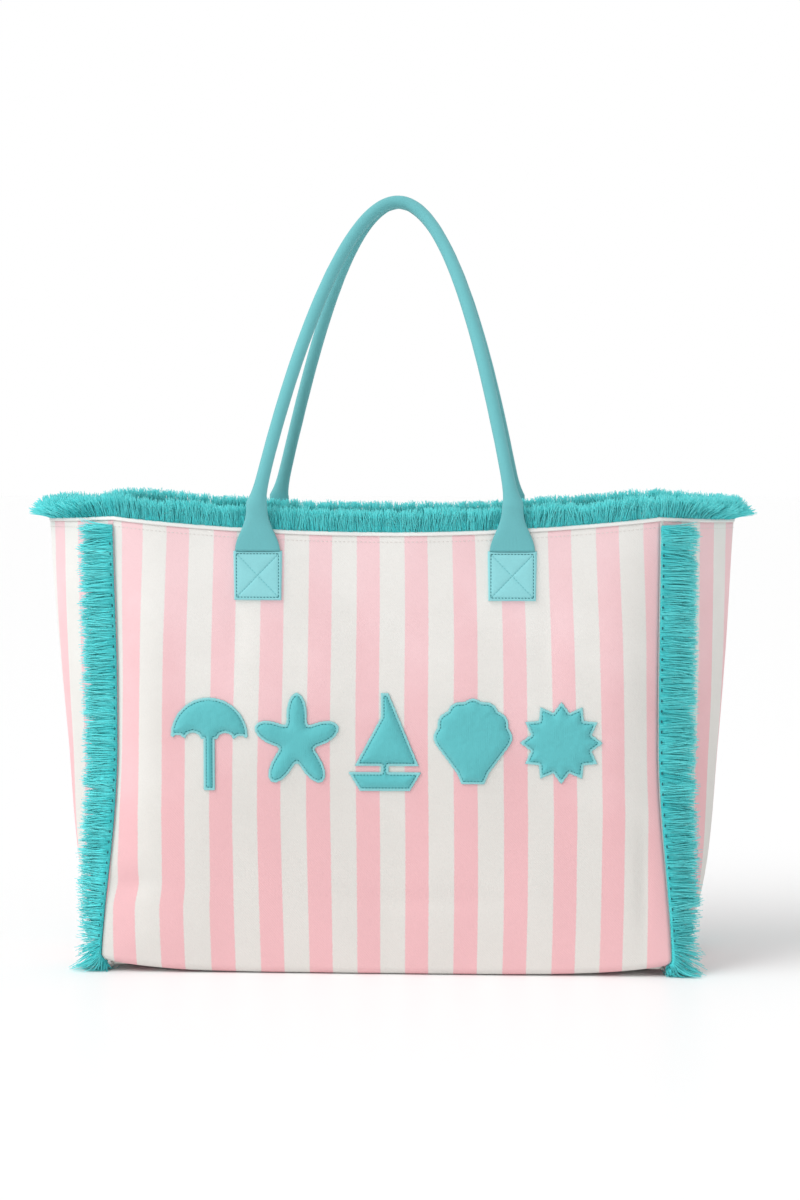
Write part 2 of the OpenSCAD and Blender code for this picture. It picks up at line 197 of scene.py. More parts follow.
def cloth_wave(x, y, z):
    """Soft waves and creases that the cloth has all over, calmer where the tabs hold it."""
    wave = WAVE * noise.noise(Vector((x * 9, y * 9, z * 3.5)))
    wave += CREASE * noise.noise(Vector((x * 24 + 5, y * 24, z * 8)))
    held = math.hypot(abs(x) - TAB_X, z - TAB_TOP) / TAB_HOLD
    return wave * mix(0.1, 1.0, smooth(held))


# Short step used to measure the direction of the outline
OUTLINE_STEP = 0.006


def wall_point(run, a, z, out=0.0):
    """A point on the bag's wall, moved outward by out."""
    p = wall_xy(run, a, z)
    before = p - wall_xy(run, a - OUTLINE_STEP, z)
    after = wall_xy(run, a + OUTLINE_STEP, z) - p
    n1 = Vector((before.y, -before.x)).normalized()
    n2 = Vector((after.y, -after.x)).normalized()
    mitre = (n1 + n2) / (1 + n1.dot(n2))
    push = out - tuck(z - floor_z(run, a)) + cloth_wave(p.x, p.y, z)
    if is_wide(run):
        push += BELLY * math.cos(a * math.pi / 2) * math.sin(math.pi * share(z)) ** 2
        push -= dents(p.x, z)
    p = p + mitre * push
    return Vector((p.x, p.y, z))


def on_wall(side, x, z, out=0.0):
    """The point at x and height z on the front or rear wall."""
    if side == "front":
        return wall_point(FRONT, x / seam_x(z), z, out)
    return wall_point(BACK, -x / seam_x(z), z, out)


ARC_STEPS = 40
# Height between two rows at which the sides' arcs are measured, in millimetres
ARC_ROWS = 4


@functools.lru_cache(maxsize=None)
def side_arc(z_mm):
    """Lengths along a side panel from its first seam, at even shares of the way."""
    points = [wall_xy(RIGHT, 2 * i / ARC_STEPS - 1, z_mm * MM) for i in range(ARC_STEPS + 1)]
    lengths = [0.0]
    for p, q in zip(points, points[1:]):
        lengths.append(lengths[-1] + (q - p).length)
    return lengths


def arc_on_side(a, z):
    place = min(ARC_STEPS - 0.001, max(0.0, (a + 1) * ARC_STEPS / 2))
    lengths = side_arc(round(z / MM / ARC_ROWS) * ARC_ROWS)
    i = int(place)
    return mix(lengths[i], lengths[i + 1], place - i)


# ------------------------ making meshes
def new_mesh(name, bm):
    mesh = bpy.data.meshes.new(name)
    bm.to_mesh(mesh)
    bm.free()
    return mesh


def make_smooth(mesh):
    mesh.polygons.foreach_set("use_smooth", [True] * len(mesh.polygons))


def new_object(name, data):
    made = bpy.data.objects.new(name, data)
    bpy.context.scene.collection.objects.link(made)
    return made


def finish_mesh(name, bm):
    mesh = new_mesh(name, bm)
    make_smooth(mesh)
    return new_object(name, mesh)


def rework(piece, change):
    """Runs change on a finished piece's mesh."""
    bm = bmesh.new()
    bm.from_mesh(piece.data)
    change(bm)
    bm.to_mesh(piece.data)
    bm.free()
    make_smooth(piece.data)


def outward_faces(bm):
    bmesh.ops.recalc_face_normals(bm, faces=bm.faces)


def stamp(bm, template):
    """Adds a copy of a small mesh and gives its vertices."""
    bm.from_mesh(template)
    bm.verts.ensure_lookup_table()
    return bm.verts[-len(template.vertices):]


def only_verts(geometry):
    return [v for v in geometry if isinstance(v, bmesh.types.BMVert)]


# Points nearer than this are joined where a piece closes on itself
SEAM_WELD = 2e-6


def mapped_grid(name, columns, rows, place, uv_place, closed=False):
    """A grid of cloth laid on a surface: place(a, b) gives the point at shares a and b, 0 to 1."""
    bm = bmesh.new()
    bmesh.ops.create_grid(bm, x_segments=columns, y_segments=rows, size=0.5)
    layer = bm.loops.layers.uv.new("cloth")
    shares = {v: (v.co.x + 0.5, v.co.y + 0.5) for v in bm.verts}
    for v, (a, b) in shares.items():
        v.co = place(a, b)
    for face in bm.faces:
        for loop in face.loops:
            loop[layer].uv = uv_place(*shares[loop.vert])
    if closed:
        bmesh.ops.remove_doubles(bm, verts=bm.verts, dist=SEAM_WELD)
    return finish_mesh(name, bm)


def thicken(piece, thickness, offset=-1.0):
    """Gives a sheet its thickness; an offset of -1 puts it all behind the sheet's face."""
    modifier = piece.modifiers.new("thickness", "SOLIDIFY")
    modifier.thickness = thickness
    modifier.offset = offset
    return piece


def dress(piece, material, body, slot, *nodes):
    """Gives a finished piece its material and the body it moves with, and hides the CAD nodes it stands
    for.
    """
    piece.data.materials.clear()
    piece.data.materials.append(material)
    if body:
        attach(piece, body)
    if nodes:
        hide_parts(*nodes)
    return piece


# ------------------------ material helpers
def srgb(code):
    """A colour from its usual six-digit code, in the light units that shaders use."""
    parts = [int(code[i:i + 2], 16) / 255 for i in (0, 2, 4)]
    return [c / 12.92 if c < 0.04045 else ((c + 0.055) / 1.055) ** 2.4 for c in parts] + [1.0]


def add(tree, kind, **values):
    """A node with its settings and its unlinked inputs set."""
    made = tree.nodes.new(kind)
    for key, value in values.items():
        if key in made.inputs:
            made.inputs[key].default_value = value
        else:
            setattr(made, key, value)
    return made


def maths(tree, operation, a, b=None):
    made = tree.nodes.new("ShaderNodeMath")
    made.operation = operation
    for socket, value in zip(made.inputs, (a, b)):
        if value is None:
            continue
        if isinstance(value, (int, float)):
            socket.default_value = value
        else:
            tree.links.new(value, socket)
    return made.outputs[0]


def put_colour(tree, colour, socket):
    """Sets a socket to a colour, or links it to a socket that gives one."""
    if isinstance(colour, list):
        socket.default_value = colour
    else:
        tree.links.new(colour, socket)


def blend_colours(tree, share_socket, low, high):
    made = add(tree, "ShaderNodeMix", data_type="RGBA")
    colour_sockets = [s for s in made.inputs if s.type == "RGBA"]
    for socket, colour in zip(colour_sockets, (low, high)):
        put_colour(tree, colour, socket)
    tree.links.new(share_socket, made.inputs[0])
    return [s for s in made.outputs if s.type == "RGBA"][0]


def attribute(tree, name):
    return add(tree, "ShaderNodeAttribute", attribute_name=name).outputs["Fac"]


def ramp(tree, value, low, high):
    """0 where the value is at low, 1 where it is at high, even between."""
    made = add(tree, "ShaderNodeMapRange")
    made.inputs["From Min"].default_value = low
    made.inputs["From Max"].default_value = high
    tree.links.new(value, made.inputs["Value"])
    return made.outputs[0]


def new_material(name):
    material = bpy.data.materials.new(name)
    material.use_nodes = True
    tree = material.node_tree
    return material, tree, tree.nodes["Principled BSDF"]


def new_group(name, inputs, outputs, kind_out="NodeSocketFloat"):
    group = bpy.data.node_groups.new(name, "ShaderNodeTree")
    for socket, kind, value in inputs:
        made = group.interface.new_socket(socket, in_out="INPUT", socket_type=kind)
        if value is not None:
            made.default_value = value
    for socket in outputs:
        group.interface.new_socket(socket, in_out="OUTPUT", socket_type=kind_out)
    return group, group.nodes.new("NodeGroupInput"), group.nodes.new("NodeGroupOutput")


def place_group(tree, group, vector, **values):
    made = tree.nodes.new("ShaderNodeGroup")
    made.node_tree = group
    tree.links.new(vector, made.inputs["Vector"])
    for key, value in values.items():
        made.inputs[key].default_value = value
    return made


def weave_group():
    """Crossing threads: Slant is 0 for a plain weave and 1 for a twill."""
    inputs = [("Vector", "NodeSocketVector", None), ("Threads", "NodeSocketFloat", 1500.0),
              ("Slant", "NodeSocketFloat", 0.0)]
    group, into, out = new_group("crossing_threads", inputs, ["Height", "Slub"])
    split = add(group, "ShaderNodeSeparateXYZ")
    group.links.new(into.outputs["Vector"], split.inputs[0])
    turn = maths(group, "MULTIPLY", into.outputs["Threads"], math.pi)
    slanted = maths(group, "MULTIPLY", split.outputs[0], into.outputs["Slant"])
    along = maths(group, "MULTIPLY", split.outputs[0], turn)
    up = maths(group, "MULTIPLY", maths(group, "ADD", split.outputs[1], slanted), turn)
    crossing = maths(group, "MULTIPLY", maths(group, "SINE", along), maths(group, "SINE", up))
    height = maths(group, "ADD", maths(group, "MULTIPLY", crossing, 0.5), 0.5)
    group.links.new(height, out.inputs["Height"])
    slub = add(group, "ShaderNodeTexNoise", Scale=260.0, Detail=3.0, Roughness=0.6)
    group.links.new(into.outputs["Vector"], slub.inputs["Vector"])
    group.links.new(slub.outputs[0], out.inputs["Slub"])
    return group


def mottle_group():
    """Uneven dye and handling marks: broad patches and fine flecks."""
    inputs = [("Vector", "NodeSocketVector", None), ("Broad", "NodeSocketFloat", 14.0),
              ("Fine", "NodeSocketFloat", 420.0)]
    group, into, out = new_group("uneven_dye", inputs, ["Patches", "Flecks"])
    for size, socket, detail in (("Broad", "Patches", 4.0), ("Fine", "Flecks", 2.0)):
        grain = add(group, "ShaderNodeTexNoise", Detail=detail, Roughness=0.55)
        group.links.new(into.outputs["Vector"], grain.inputs["Vector"])
        group.links.new(into.outputs[size], grain.inputs["Scale"])
        group.links.new(grain.outputs[0], out.inputs[socket])
    return group


# How much of the dye's marks comes from its broad patches; the rest is flecks
PATCH_SHARE = 0.65


def dye_group():
    """A dye made darker and lighter by the marks in it."""
    inputs = [("Dye", "NodeSocketColor", None), ("Patches", "NodeSocketFloat", 0.5),
              ("Flecks", "NodeSocketFloat", 0.5), ("Darkest", "NodeSocketFloat", 0.9),
              ("Lightest", "NodeSocketFloat", 1.1)]
    group, into, out = new_group("marked_dye", inputs, ["Colour"], "NodeSocketColor")
    marks = maths(group, "ADD", maths(group, "MULTIPLY", into.outputs["Patches"], PATCH_SHARE),
                  maths(group, "MULTIPLY", into.outputs["Flecks"], 1 - PATCH_SHARE))
    place = maths(group, "SUBTRACT", maths(group, "MULTIPLY", marks, 2.0), 0.5)
    spread = maths(group, "SUBTRACT", into.outputs["Lightest"], into.outputs["Darkest"])
    value = maths(group, "ADD", maths(group, "MULTIPLY", place, spread), into.outputs["Darkest"])
    made = add(group, "ShaderNodeHueSaturation")
    group.links.new(value, made.inputs["Value"])
    group.links.new(into.outputs["Dye"], made.inputs["Color"])
    group.links.new(made.outputs[0], out.inputs["Colour"])
    return group


WEAVE = weave_group()
MOTTLE = mottle_group()
DYE = dye_group()


def uv_vector(tree):
    return add(tree, "ShaderNodeUVMap", uv_map="cloth").outputs[0]


def object_vector(tree):
    return add(tree, "ShaderNodeTexCoord").outputs["Object"]


# Raised threads are this much less rough than the gaps between them
RAISED_GLOSS = -0.08


def finish_cloth(tree, shader, colour, height, depth, roughness, sheen):
    """Cloth shading: a matt face with a thread relief and a soft sheen."""
    bump = add(tree, "ShaderNodeBump", Strength=1.0, Distance=depth)
    tree.links.new(height, bump.inputs["Height"])
    tree.links.new(bump.outputs[0], shader.inputs["Normal"])
    tree.links.new(colour, shader.inputs["Base Color"])
    gloss = maths(tree, "MULTIPLY", height, RAISED_GLOSS)
    tree.links.new(maths(tree, "ADD", gloss, roughness), shader.inputs["Roughness"])
    shader.inputs["Sheen Weight"].default_value = sheen
    shader.inputs["Sheen Roughness"].default_value = 0.5
    shader.inputs["Specular IOR Level"].default_value = 0.25


def shaded(tree, colour, mottle, low, high):
    """The colour, darkened and lightened by the dye's patches and flecks."""
    made = add(tree, "ShaderNodeGroup", node_tree=DYE)
    for mark in ("Patches", "Flecks"):
        tree.links.new(mottle.outputs[mark], made.inputs[mark])
    made.inputs["Darkest"].default_value = low
    made.inputs["Lightest"].default_value = high
    put_colour(tree, colour, made.inputs["Dye"])
    return made.outputs["Colour"]


# The stripes' pink and white, each as a darker copy carrying painted shade for low on the bag and a
# lighter copy for high up
SHADED_PINK = srgb("f2bfc3")
LIT_PINK = srgb("f8d3d7")
LIT_WHITE = srgb("efede9")
SHADED_WHITE = srgb("e5e2dd")
AQUA = srgb("6dbcc1")
TAB_AQUA = srgb("90d7dc")
# The yarn's two ends of colour: the deep one also gives painted shade at the roots, the light one painted
# light at the tips
FRINGE_DEEP = srgb("10ccd2")
FRINGE_LIGHT = srgb("7cf6f7")
PATCH_AQUA = srgb("5fbec3")
PATCH_EDGE_AQUA = srgb("92d6d9")
THREAD = srgb("1c6a71")
PALE_THREAD = srgb("78c4c9")
STRIPE_PITCH = 38.27 * MM
SHARE_PINK = 0.48
# The print's edges: how soft they are as a share of the pitch, and how much they waver
EDGE_SOFT = 0.006
EDGE_WAVER = 1.2 * MM
# The canvas is painted lightest from the second height up and darkest below the first: painted shade low
# on the bag, in the white and the pink alike
SHADE_FADE_FROM = 140 * MM
SHADE_FADE_TO = 340 * MM


def striped_canvas(name, start):
    """Plain-weave canvas with printed stripes; start is where a pink stripe begins."""
    material, tree, shader = new_material(name)
    uv = uv_vector(tree)
    weave = place_group(tree, WEAVE, uv, Threads=1500.0, Slant=0.0)
    mottle = place_group(tree, MOTTLE, uv, Broad=11.0, Fine=700.0)
    split = add(tree, "ShaderNodeSeparateXYZ")
    tree.links.new(uv, split.inputs[0])
    wobble = add(tree, "ShaderNodeTexNoise", Scale=900.0, Detail=1.0)
    tree.links.new(uv, wobble.inputs["Vector"])
    edge = maths(tree, "MULTIPLY", maths(tree, "SUBTRACT", wobble.outputs[0], 0.5), EDGE_WAVER)
    place = maths(tree, "ADD", maths(tree, "SUBTRACT", split.outputs[0], start), edge)
    turn = maths(tree, "FRACT", maths(tree, "DIVIDE", place, STRIPE_PITCH))
    far = maths(tree, "ABSOLUTE", maths(tree, "SUBTRACT", turn, SHARE_PINK / 2))
    far = maths(tree, "MINIMUM", far, maths(tree, "SUBTRACT", 1.0, far))
    is_pink = ramp(tree, far, SHARE_PINK / 2 + EDGE_SOFT, SHARE_PINK / 2 - EDGE_SOFT)
    uneven = maths(tree, "MULTIPLY", maths(tree, "SUBTRACT", mottle.outputs["Patches"], 0.5), 0.25)
    # Painted shade: the white and the pink are painted darker low on the bag
    lit_share = ramp(tree, maths(tree, "ADD", split.outputs[1], uneven), SHADE_FADE_FROM, SHADE_FADE_TO)
    pink = blend_colours(tree, lit_share, SHADED_PINK, LIT_PINK)
    white = blend_colours(tree, lit_share, SHADED_WHITE, LIT_WHITE)
    stripes = blend_colours(tree, is_pink, white, pink)
    colour = shaded(tree, stripes, mottle, 0.955, 1.03)
    height = maths(tree, "ADD", weave.outputs["Height"],
                   maths(tree, "MULTIPLY", weave.outputs["Slub"], 0.8))
    finish_cloth(tree, shader, colour, height, depth=0.22 * MM, roughness=0.86, sheen=0.12)
    return material


def plain_cloth(name, base, threads, slant, depth, uv=True):
    """One-colour woven cloth with uneven dye."""
    material, tree, shader = new_material(name)
    vector = uv_vector(tree) if uv else object_vector(tree)
    weave = place_group(tree, WEAVE, vector, Threads=threads, Slant=slant)
    mottle = place_group(tree, MOTTLE, object_vector(tree), Broad=20.0, Fine=900.0)
    colour = shaded(tree, base, mottle, 0.93, 1.05)
    height = maths(tree, "ADD", weave.outputs["Height"], weave.outputs["Slub"])
    finish_cloth(tree, shader, colour, height, depth, roughness=0.82, sheen=0.2)
    return material


def fringe_yarn():
    """Cut yarn, each strand its own tone, with painted shade deep between the strands and painted light
    at the tips.
    """
    material, tree, shader = new_material("fringe_yarn")
    mottle = place_group(tree, MOTTLE, object_vector(tree), Broad=60.0, Fine=1600.0)
    # Painted light and shade: tips painted paler, roots between the strands darker, on top of each
    # strand's own tone
    light = maths(tree, "ADD", maths(tree, "MULTIPLY", attribute(tree, "shade"), 0.6),
                  maths(tree, "MULTIPLY", attribute(tree, "tip"), 0.5))
    colour = blend_colours(tree, light, FRINGE_DEEP, FRINGE_LIGHT)
    colour = shaded(tree, colour, mottle, 0.92, 1.06)
    finish_cloth(tree, shader, colour, mottle.outputs["Flecks"], 0.1 * MM, roughness=0.88, sheen=0.15)
    return material


def patch_cloth():
    """Brushed cloth over the padding, paler along its flat cut edge."""
    material, tree, shader = new_material("patch_cloth")
    mottle = place_group(tree, MOTTLE, object_vector(tree), Broad=45.0, Fine=1500.0)
    weave = place_group(tree, WEAVE, object_vector(tree), Threads=1400.0, Slant=0.0)
    colour = blend_colours(tree, attribute(tree, "edge"), PATCH_AQUA, PATCH_EDGE_AQUA)
    colour = shaded(tree, colour, mottle, 0.93, 1.05)
    height = maths(tree, "ADD", mottle.outputs["Flecks"],
                   maths(tree, "MULTIPLY", weave.outputs["Height"], 0.4))
    finish_cloth(tree, shader, colour, height, depth=0.3 * MM, roughness=0.9, sheen=0.35)
    return material


def sewing_thread(name, colour):
    """Twisted thread: its own colour, or pale where the thread is marked pale."""
    material, tree, shader = new_material(name)
    mottle = place_group(tree, MOTTLE, object_vector(tree), Broad=200.0, Fine=2500.0)
    colour = blend_colours(tree, attribute(tree, "pale"), colour, PALE_THREAD)
    finish_cloth(tree, shader, shaded(tree, colour, mottle, 0.85, 1.1),
                 mottle.outputs["Flecks"], depth=0.2 * MM, roughness=0.6, sheen=0.1)
    return material


def base_board_card():
    """Grey-brown stiff board with pressed fibres and scuffs."""
    material, tree, shader = new_material("base_board_card")
    mottle = place_group(tree, MOTTLE, object_vector(tree), Broad=30.0, Fine=1200.0)
    finish_cloth(tree, shader, shaded(tree, srgb("a8977c"), mottle, 0.85, 1.1),
                 mottle.outputs["Flecks"], depth=0.2 * MM, roughness=0.8, sheen=0.0)
    return material


YARN = fringe_yarn()
PATCH_CLOTH = patch_cloth()
# Each plain cloth's colour, threads, slant and depth of relief
HANDLE_CLOTH = plain_cloth("handle_cloth", AQUA, 1900.0, 1.0, 0.12 * MM)
TAB_CLOTH = plain_cloth("tab_cloth", TAB_AQUA, 1900.0, 1.0, 0.12 * MM)
HEADER_TAPE = plain_cloth("header_tape", srgb("2ba3a9"), 1200.0, 0.0, 0.2 * MM)
TAPE = plain_cloth("rim_tape", srgb("f3f1ee"), 1700.0, 0.0, 0.2 * MM)
LINING_CLOTH = plain_cloth("lining_cloth", srgb("e9e6df"), 2400.0, 0.0, 0.08 * MM)
ROPE_COTTON = plain_cloth("rope_cotton", srgb("ded6c6"), 500.0, 1.0, 0.6 * MM, uv=False)
DARK_THREAD = sewing_thread("dark_thread", THREAD)
WHITE_THREAD = sewing_thread("white_thread", srgb("e6e0dc"))
WIDE_START = -171.5 * MM - 3 * STRIPE_PITCH
CANVAS = {
    FRONT: striped_canvas("front_canvas", WIDE_START),
    RIGHT: striped_canvas("right_canvas", 42 * MM),
    BACK: striped_canvas("back_canvas", WIDE_START),
    LEFT: striped_canvas("left_canvas", 27 * MM),
}


# ------------------------ canvas walls and lining
# The cloth is stretched a little wider low on the bag and gathered at the rim
SPREAD = [(0.0, 1.005), (0.06, 1.016), (0.13, 1.024), (0.2, 1.016), (0.27, 1.004), (0.35, 0.985)]
STRIPE_SHIFT = 3.9 * MM
# How far the stripes are pulled aside under the dent at the lower left, and where the pull fades
PULL = 2.6 * MM
PULL_X = -110 * MM
PULL_FADE_X = 80 * MM
PULL_Z = 50 * MM
PULL_FADE_Z = 24 * MM
# How far the stripes wander off their straight line
DRIFT = 1.5 * MM


def stripe_spread(z):
    for (z0, s0), (z1, s1) in zip(SPREAD, SPREAD[1:]):
        if z < z1:
            return mix(s0, s1, max(0.0, z - z0) / (z1 - z0))
    return SPREAD[-1][1]


def stripe_place(run, a, z):
    """Where a point of a wall lies across the striped cloth, in metres."""
    drift = DRIFT * noise.noise(Vector((a * 2.2 + run * 7, z * 7, 0.3)))
    if is_wide(run):
        zone = CURL_ZONE * seam_x(z)
        arc = math.copysign(2 * curl(z) ** 2 / (3 * zone) * edge_share(a) ** 3, a)
        pulled = PULL * smooth((PULL_X - a * seam_x(z)) / PULL_FADE_X)
        pulled *= 1 - smooth((z - PULL_Z) / PULL_FADE_Z)
        return a * seam_x(z) / stripe_spread(z) + arc + STRIPE_SHIFT + drift + pulled
    if run == LEFT:
        return arc_on_side(-a, z) + drift
    return arc_on_side(a, z) + drift


def wall_height(run, a, k, low=None):
    start = floor_z(run, a) if low is None else low
    return mix(start, rim_z(run, a), k)


def wall_sheet(run, name, columns, rows, at, push, thickness):
    """A cloth that lies along a wall: at(a, b) gives its place there, push(s, z, b) how far out it is."""
    def place(a, b):
        s, z = at(a, b)
        return wall_point(run, s, z, out=push(s, z, b))

    def uv(a, b):
        return stripe_place(run, *at(a, b)), at(a, b)[1]

    return thicken(mapped_grid(name, columns, rows, place, uv), thickness)


# The rows of a wall lie closer together low down, by these powers
CANVAS_ROWS = 1.5
LINING_ROWS = 1.4
LINING_TOP = 0.96
LINING_FLOOR = 5 * MM
LINING_SLACK = 0.6 * MM
LINING_T = 0.5 * MM
HEM_GAP = 0.4 * MM
HEM_T = 0.9 * MM
HEM_ROWS = 8


def canvas_wall(run, columns, rows):
    def at(a, b):
        return 2 * a - 1, wall_height(run, 2 * a - 1, b ** CANVAS_ROWS)

    side = RUN_NAMES[run]
    wall = wall_sheet(run, f"{side}_canvas", columns, rows, at, lambda s, z, b: 0.0, CANVAS_T)
    dress(wall, CANVAS[run], "bag", "striped_canvas", f"{side}_{pick(run, 'panel', 'side_panel')}")
    flat = pick(run, (0.445, 0.362), (0.226, 0.364))


def hem_facing(run, columns):
    """The canvas turned in at the rim, seen inside the mouth."""
    def at(a, b):
        top = rim_z(run, 2 * a - 1)
        return 2 * a - 1, mix(top - HEM_H, top, b)

    side = RUN_NAMES[run]
    inward = -CANVAS_T - HEM_GAP
    hem = wall_sheet(run, f"{side}_hem", columns, HEM_ROWS, at, lambda s, z, b: inward, HEM_T)
    dress(hem, CANVAS[run], "bag", "striped_canvas")
    flat = pick(run, (0.438, HEM_H), (0.222, HEM_H))


def lining_wall(run, columns, rows):
    def at(a, b):
        return 2 * a - 1, wall_height(run, 2 * a - 1, LINING_TOP * b ** LINING_ROWS, low=LINING_FLOOR)

    def push(s, z, b):
        waves = 1 + noise.noise(Vector((s * 5, run * 3, z * 14)))
        return -LINING_IN - LINING_SLACK * waves * math.sin(math.pi * b)

    side = RUN_NAMES[run]
    lining = wall_sheet(run, f"{side}_lining_cloth", columns, rows, at, push, LINING_T)
    dress(lining, LINING_CLOTH, "bag", "lining_cloth", f"{side}_lining")
    flat = pick(run, (0.436, 0.343), (0.218, 0.345))


# Height at which the base takes its outline from the walls, and where its three layers lie
BASE_CUT = 3 * MM
BOTTOM_Z = 0.2 * MM
BOARD_Z = 4.1 * MM
BOARD_T = 2.2 * MM
FLOOR_LINING_Z = 5.6 * MM
FLOOR_LINING_WAVE = 0.8 * MM


def floor_point(a, b, inset):
    """A point of the base: a and b run from -1 to 1 across and from front to back."""
    side = wall_xy(RIGHT, b, BASE_CUT).x
    front = -wall_xy(FRONT, a, BASE_CUT).y
    x = a * (side - inset)
    y = b * (front - inset)
    return Vector((x, y, CORNER_LIFT * abs(a) ** LIFT_POWER * mix(SIDE_LIFT, 1.0, b * b)))


def base_uv(a, b):
    return 2 * a * BASE_X, 2 * b * BASE_Y


def bottom_cloth():
    def place(a, b):
        return floor_point(2 * a - 1, 2 * b - 1, EDGE_R) + UP * BOTTOM_Z

    def uv(a, b):
        return 2 * a * BASE_X - BASE_X, 2 * b * BASE_Y

    cloth = mapped_grid("bottom_canvas", 64, 24, place, uv)
    for face in cloth.data.polygons:
        face.flip()
    thicken(cloth, CANVAS_T)
    dress(cloth, CANVAS[FRONT], "bag", "striped_canvas", "bottom_panel")


def stiff_base():
    """The thin board in the base, bent up a little with the cloth at its corners."""
    def place(a, b):
        return floor_point(2 * a - 1, 2 * b - 1, EDGE_R + 3 * MM) + UP * BOARD_Z

    board = mapped_grid("stiff_base", 60, 24, place, base_uv)
    thicken(board, BOARD_T)
    dress(board, base_board_card(), "bag", "base_board", "base_board")


def bottom_lining_cloth():
    def place(a, b):
        point = floor_point(2 * a - 1, 2 * b - 1, EDGE_R + 1 * MM)
        return point + UP * (FLOOR_LINING_Z + FLOOR_LINING_WAVE * noise.noise(point * 25))

    cloth = mapped_grid("bottom_lining_cloth", 60, 24, place, base_uv)
    thicken(cloth, LINING_T)
    dress(cloth, LINING_CLOTH, "bag", "lining_cloth", "bottom_lining")


def rim_binding():
    """Narrow white tape folded over the rim, all the way round."""
    half = 2.3 * MM

    def at(a):
        turn = 4 * a
        run = min(3, int(turn))
        return run, 2 * (turn - run) - 1

    def place(a, b):
        run, s = at(a)
        angle = math.pi * (1.12 - 1.24 * b)
        out = -1.7 * MM - half * math.cos(angle + math.pi)
        rise = -0.4 * MM + BINDING_H * math.sin(angle)
        top = wall_point(run, s, rim_z(run, s), out=-out - 3.2 * MM)
        return top + UP * rise

    def uv(a, b):
        return a * 1.3, b * 7 * MM

    tape = mapped_grid("rim_tape", 480, 10, place, uv, closed=True)
    thicken(tape, 0.6 * MM)
    dress(tape, TAPE, "bag", "rim_tape", "rim_binding")


# ------------------------ fringe
STRAND_RINGS = 4
STRAND_R = 0.37 * MM


def strand_template():
    """One cut end of yarn, one unit long and one unit in radius, standing on the origin."""
    bm = bmesh.new()
    bmesh.ops.create_circle(bm, segments=3, radius=1.0, cap_ends=True)
    edges = list(bm.edges)
    for ring in range(STRAND_RINGS):
        grown = bmesh.ops.extrude_edge_only(bm, edges=edges)["geom"]
        for v in only_verts(grown):
            v.co.z += 1 / STRAND_RINGS
        middle = (ring + 0.5) / STRAND_RINGS
        edges = [e for e in grown if isinstance(e, bmesh.types.BMEdge)
                 and min(v.co.z for v in e.verts) > middle]
    bmesh.ops.edgeloop_fill(bm, edges=edges)
    outward_faces(bm)
    return new_mesh("strand", bm)


STRAND = strand_template()
STRAND_KINK = 0.9 * MM
STRAND_TAPER = 0.3
# Strands that reach the floor are pressed up against it from this height
FLOOR_ZONE = 0.8 * MM


class Fringe:
    """A run of cut yarn ends in one mesh."""

    def __init__(self, rng):
        self.rng = rng
        self.bm = bmesh.new()
        self.shade = self.bm.verts.layers.float.new("shade")
        self.tip = self.bm.verts.layers.float.new("tip")

    def plant(self, base, direction, bend, length, shade):
        """One strand: it bends by the vector bend at its tip and has a small kink of its own."""
        direction = direction.normalized()
        side = direction.orthogonal().normalized()
        across = direction.cross(side)
        turn = self.rng.random() * 2 * math.pi
        kink = (side * math.cos(turn) + across * math.sin(turn)) * (STRAND_KINK * self.rng.random())
        phase = self.rng.random() * 6
        for v in stamp(self.bm, STRAND):
            t = v.co.z
            reach = STRAND_R * (1 - STRAND_TAPER * t * t)
            ring = (side * v.co.x + across * v.co.y) * reach
            sway = kink * (t * math.sin(5.5 * t + phase))
            v.co = base + direction * (length * t) + bend * (t * t) + sway + ring
            if v.co.z < FLOOR_ZONE:
                v.co.z = FLOOR_ZONE * math.exp(v.co.z / FLOOR_ZONE - 1)
            v[self.shade] = shade
            # The yarn paints a strand paler toward its tip: painted light
            v[self.tip] = t

    def finish(self, node):
        dress(finish_mesh(f"{node}_yarn", self.bm), YARN, "bag", "fringe", node)


def tuft_pull(place, pitch, seed):
    """How far along the edge the tuft lies that a strand at this place leans to."""
    shifted = place / pitch + 0.9 * noise.noise(Vector((place / pitch * 0.45, seed, 0)))
    return (math.floor(shifted) + 0.5 - shifted) * pitch


# Half the length of a side's rim
SIDE_RIM = 0.111
# The rim fringe leans back within the first distance of a handle, less and less over the second
HANDLE_NEAR = 12 * MM
HANDLE_FADE = 9 * MM
HANDLE_LEAN = -0.16
RIM_STEP = 0.01


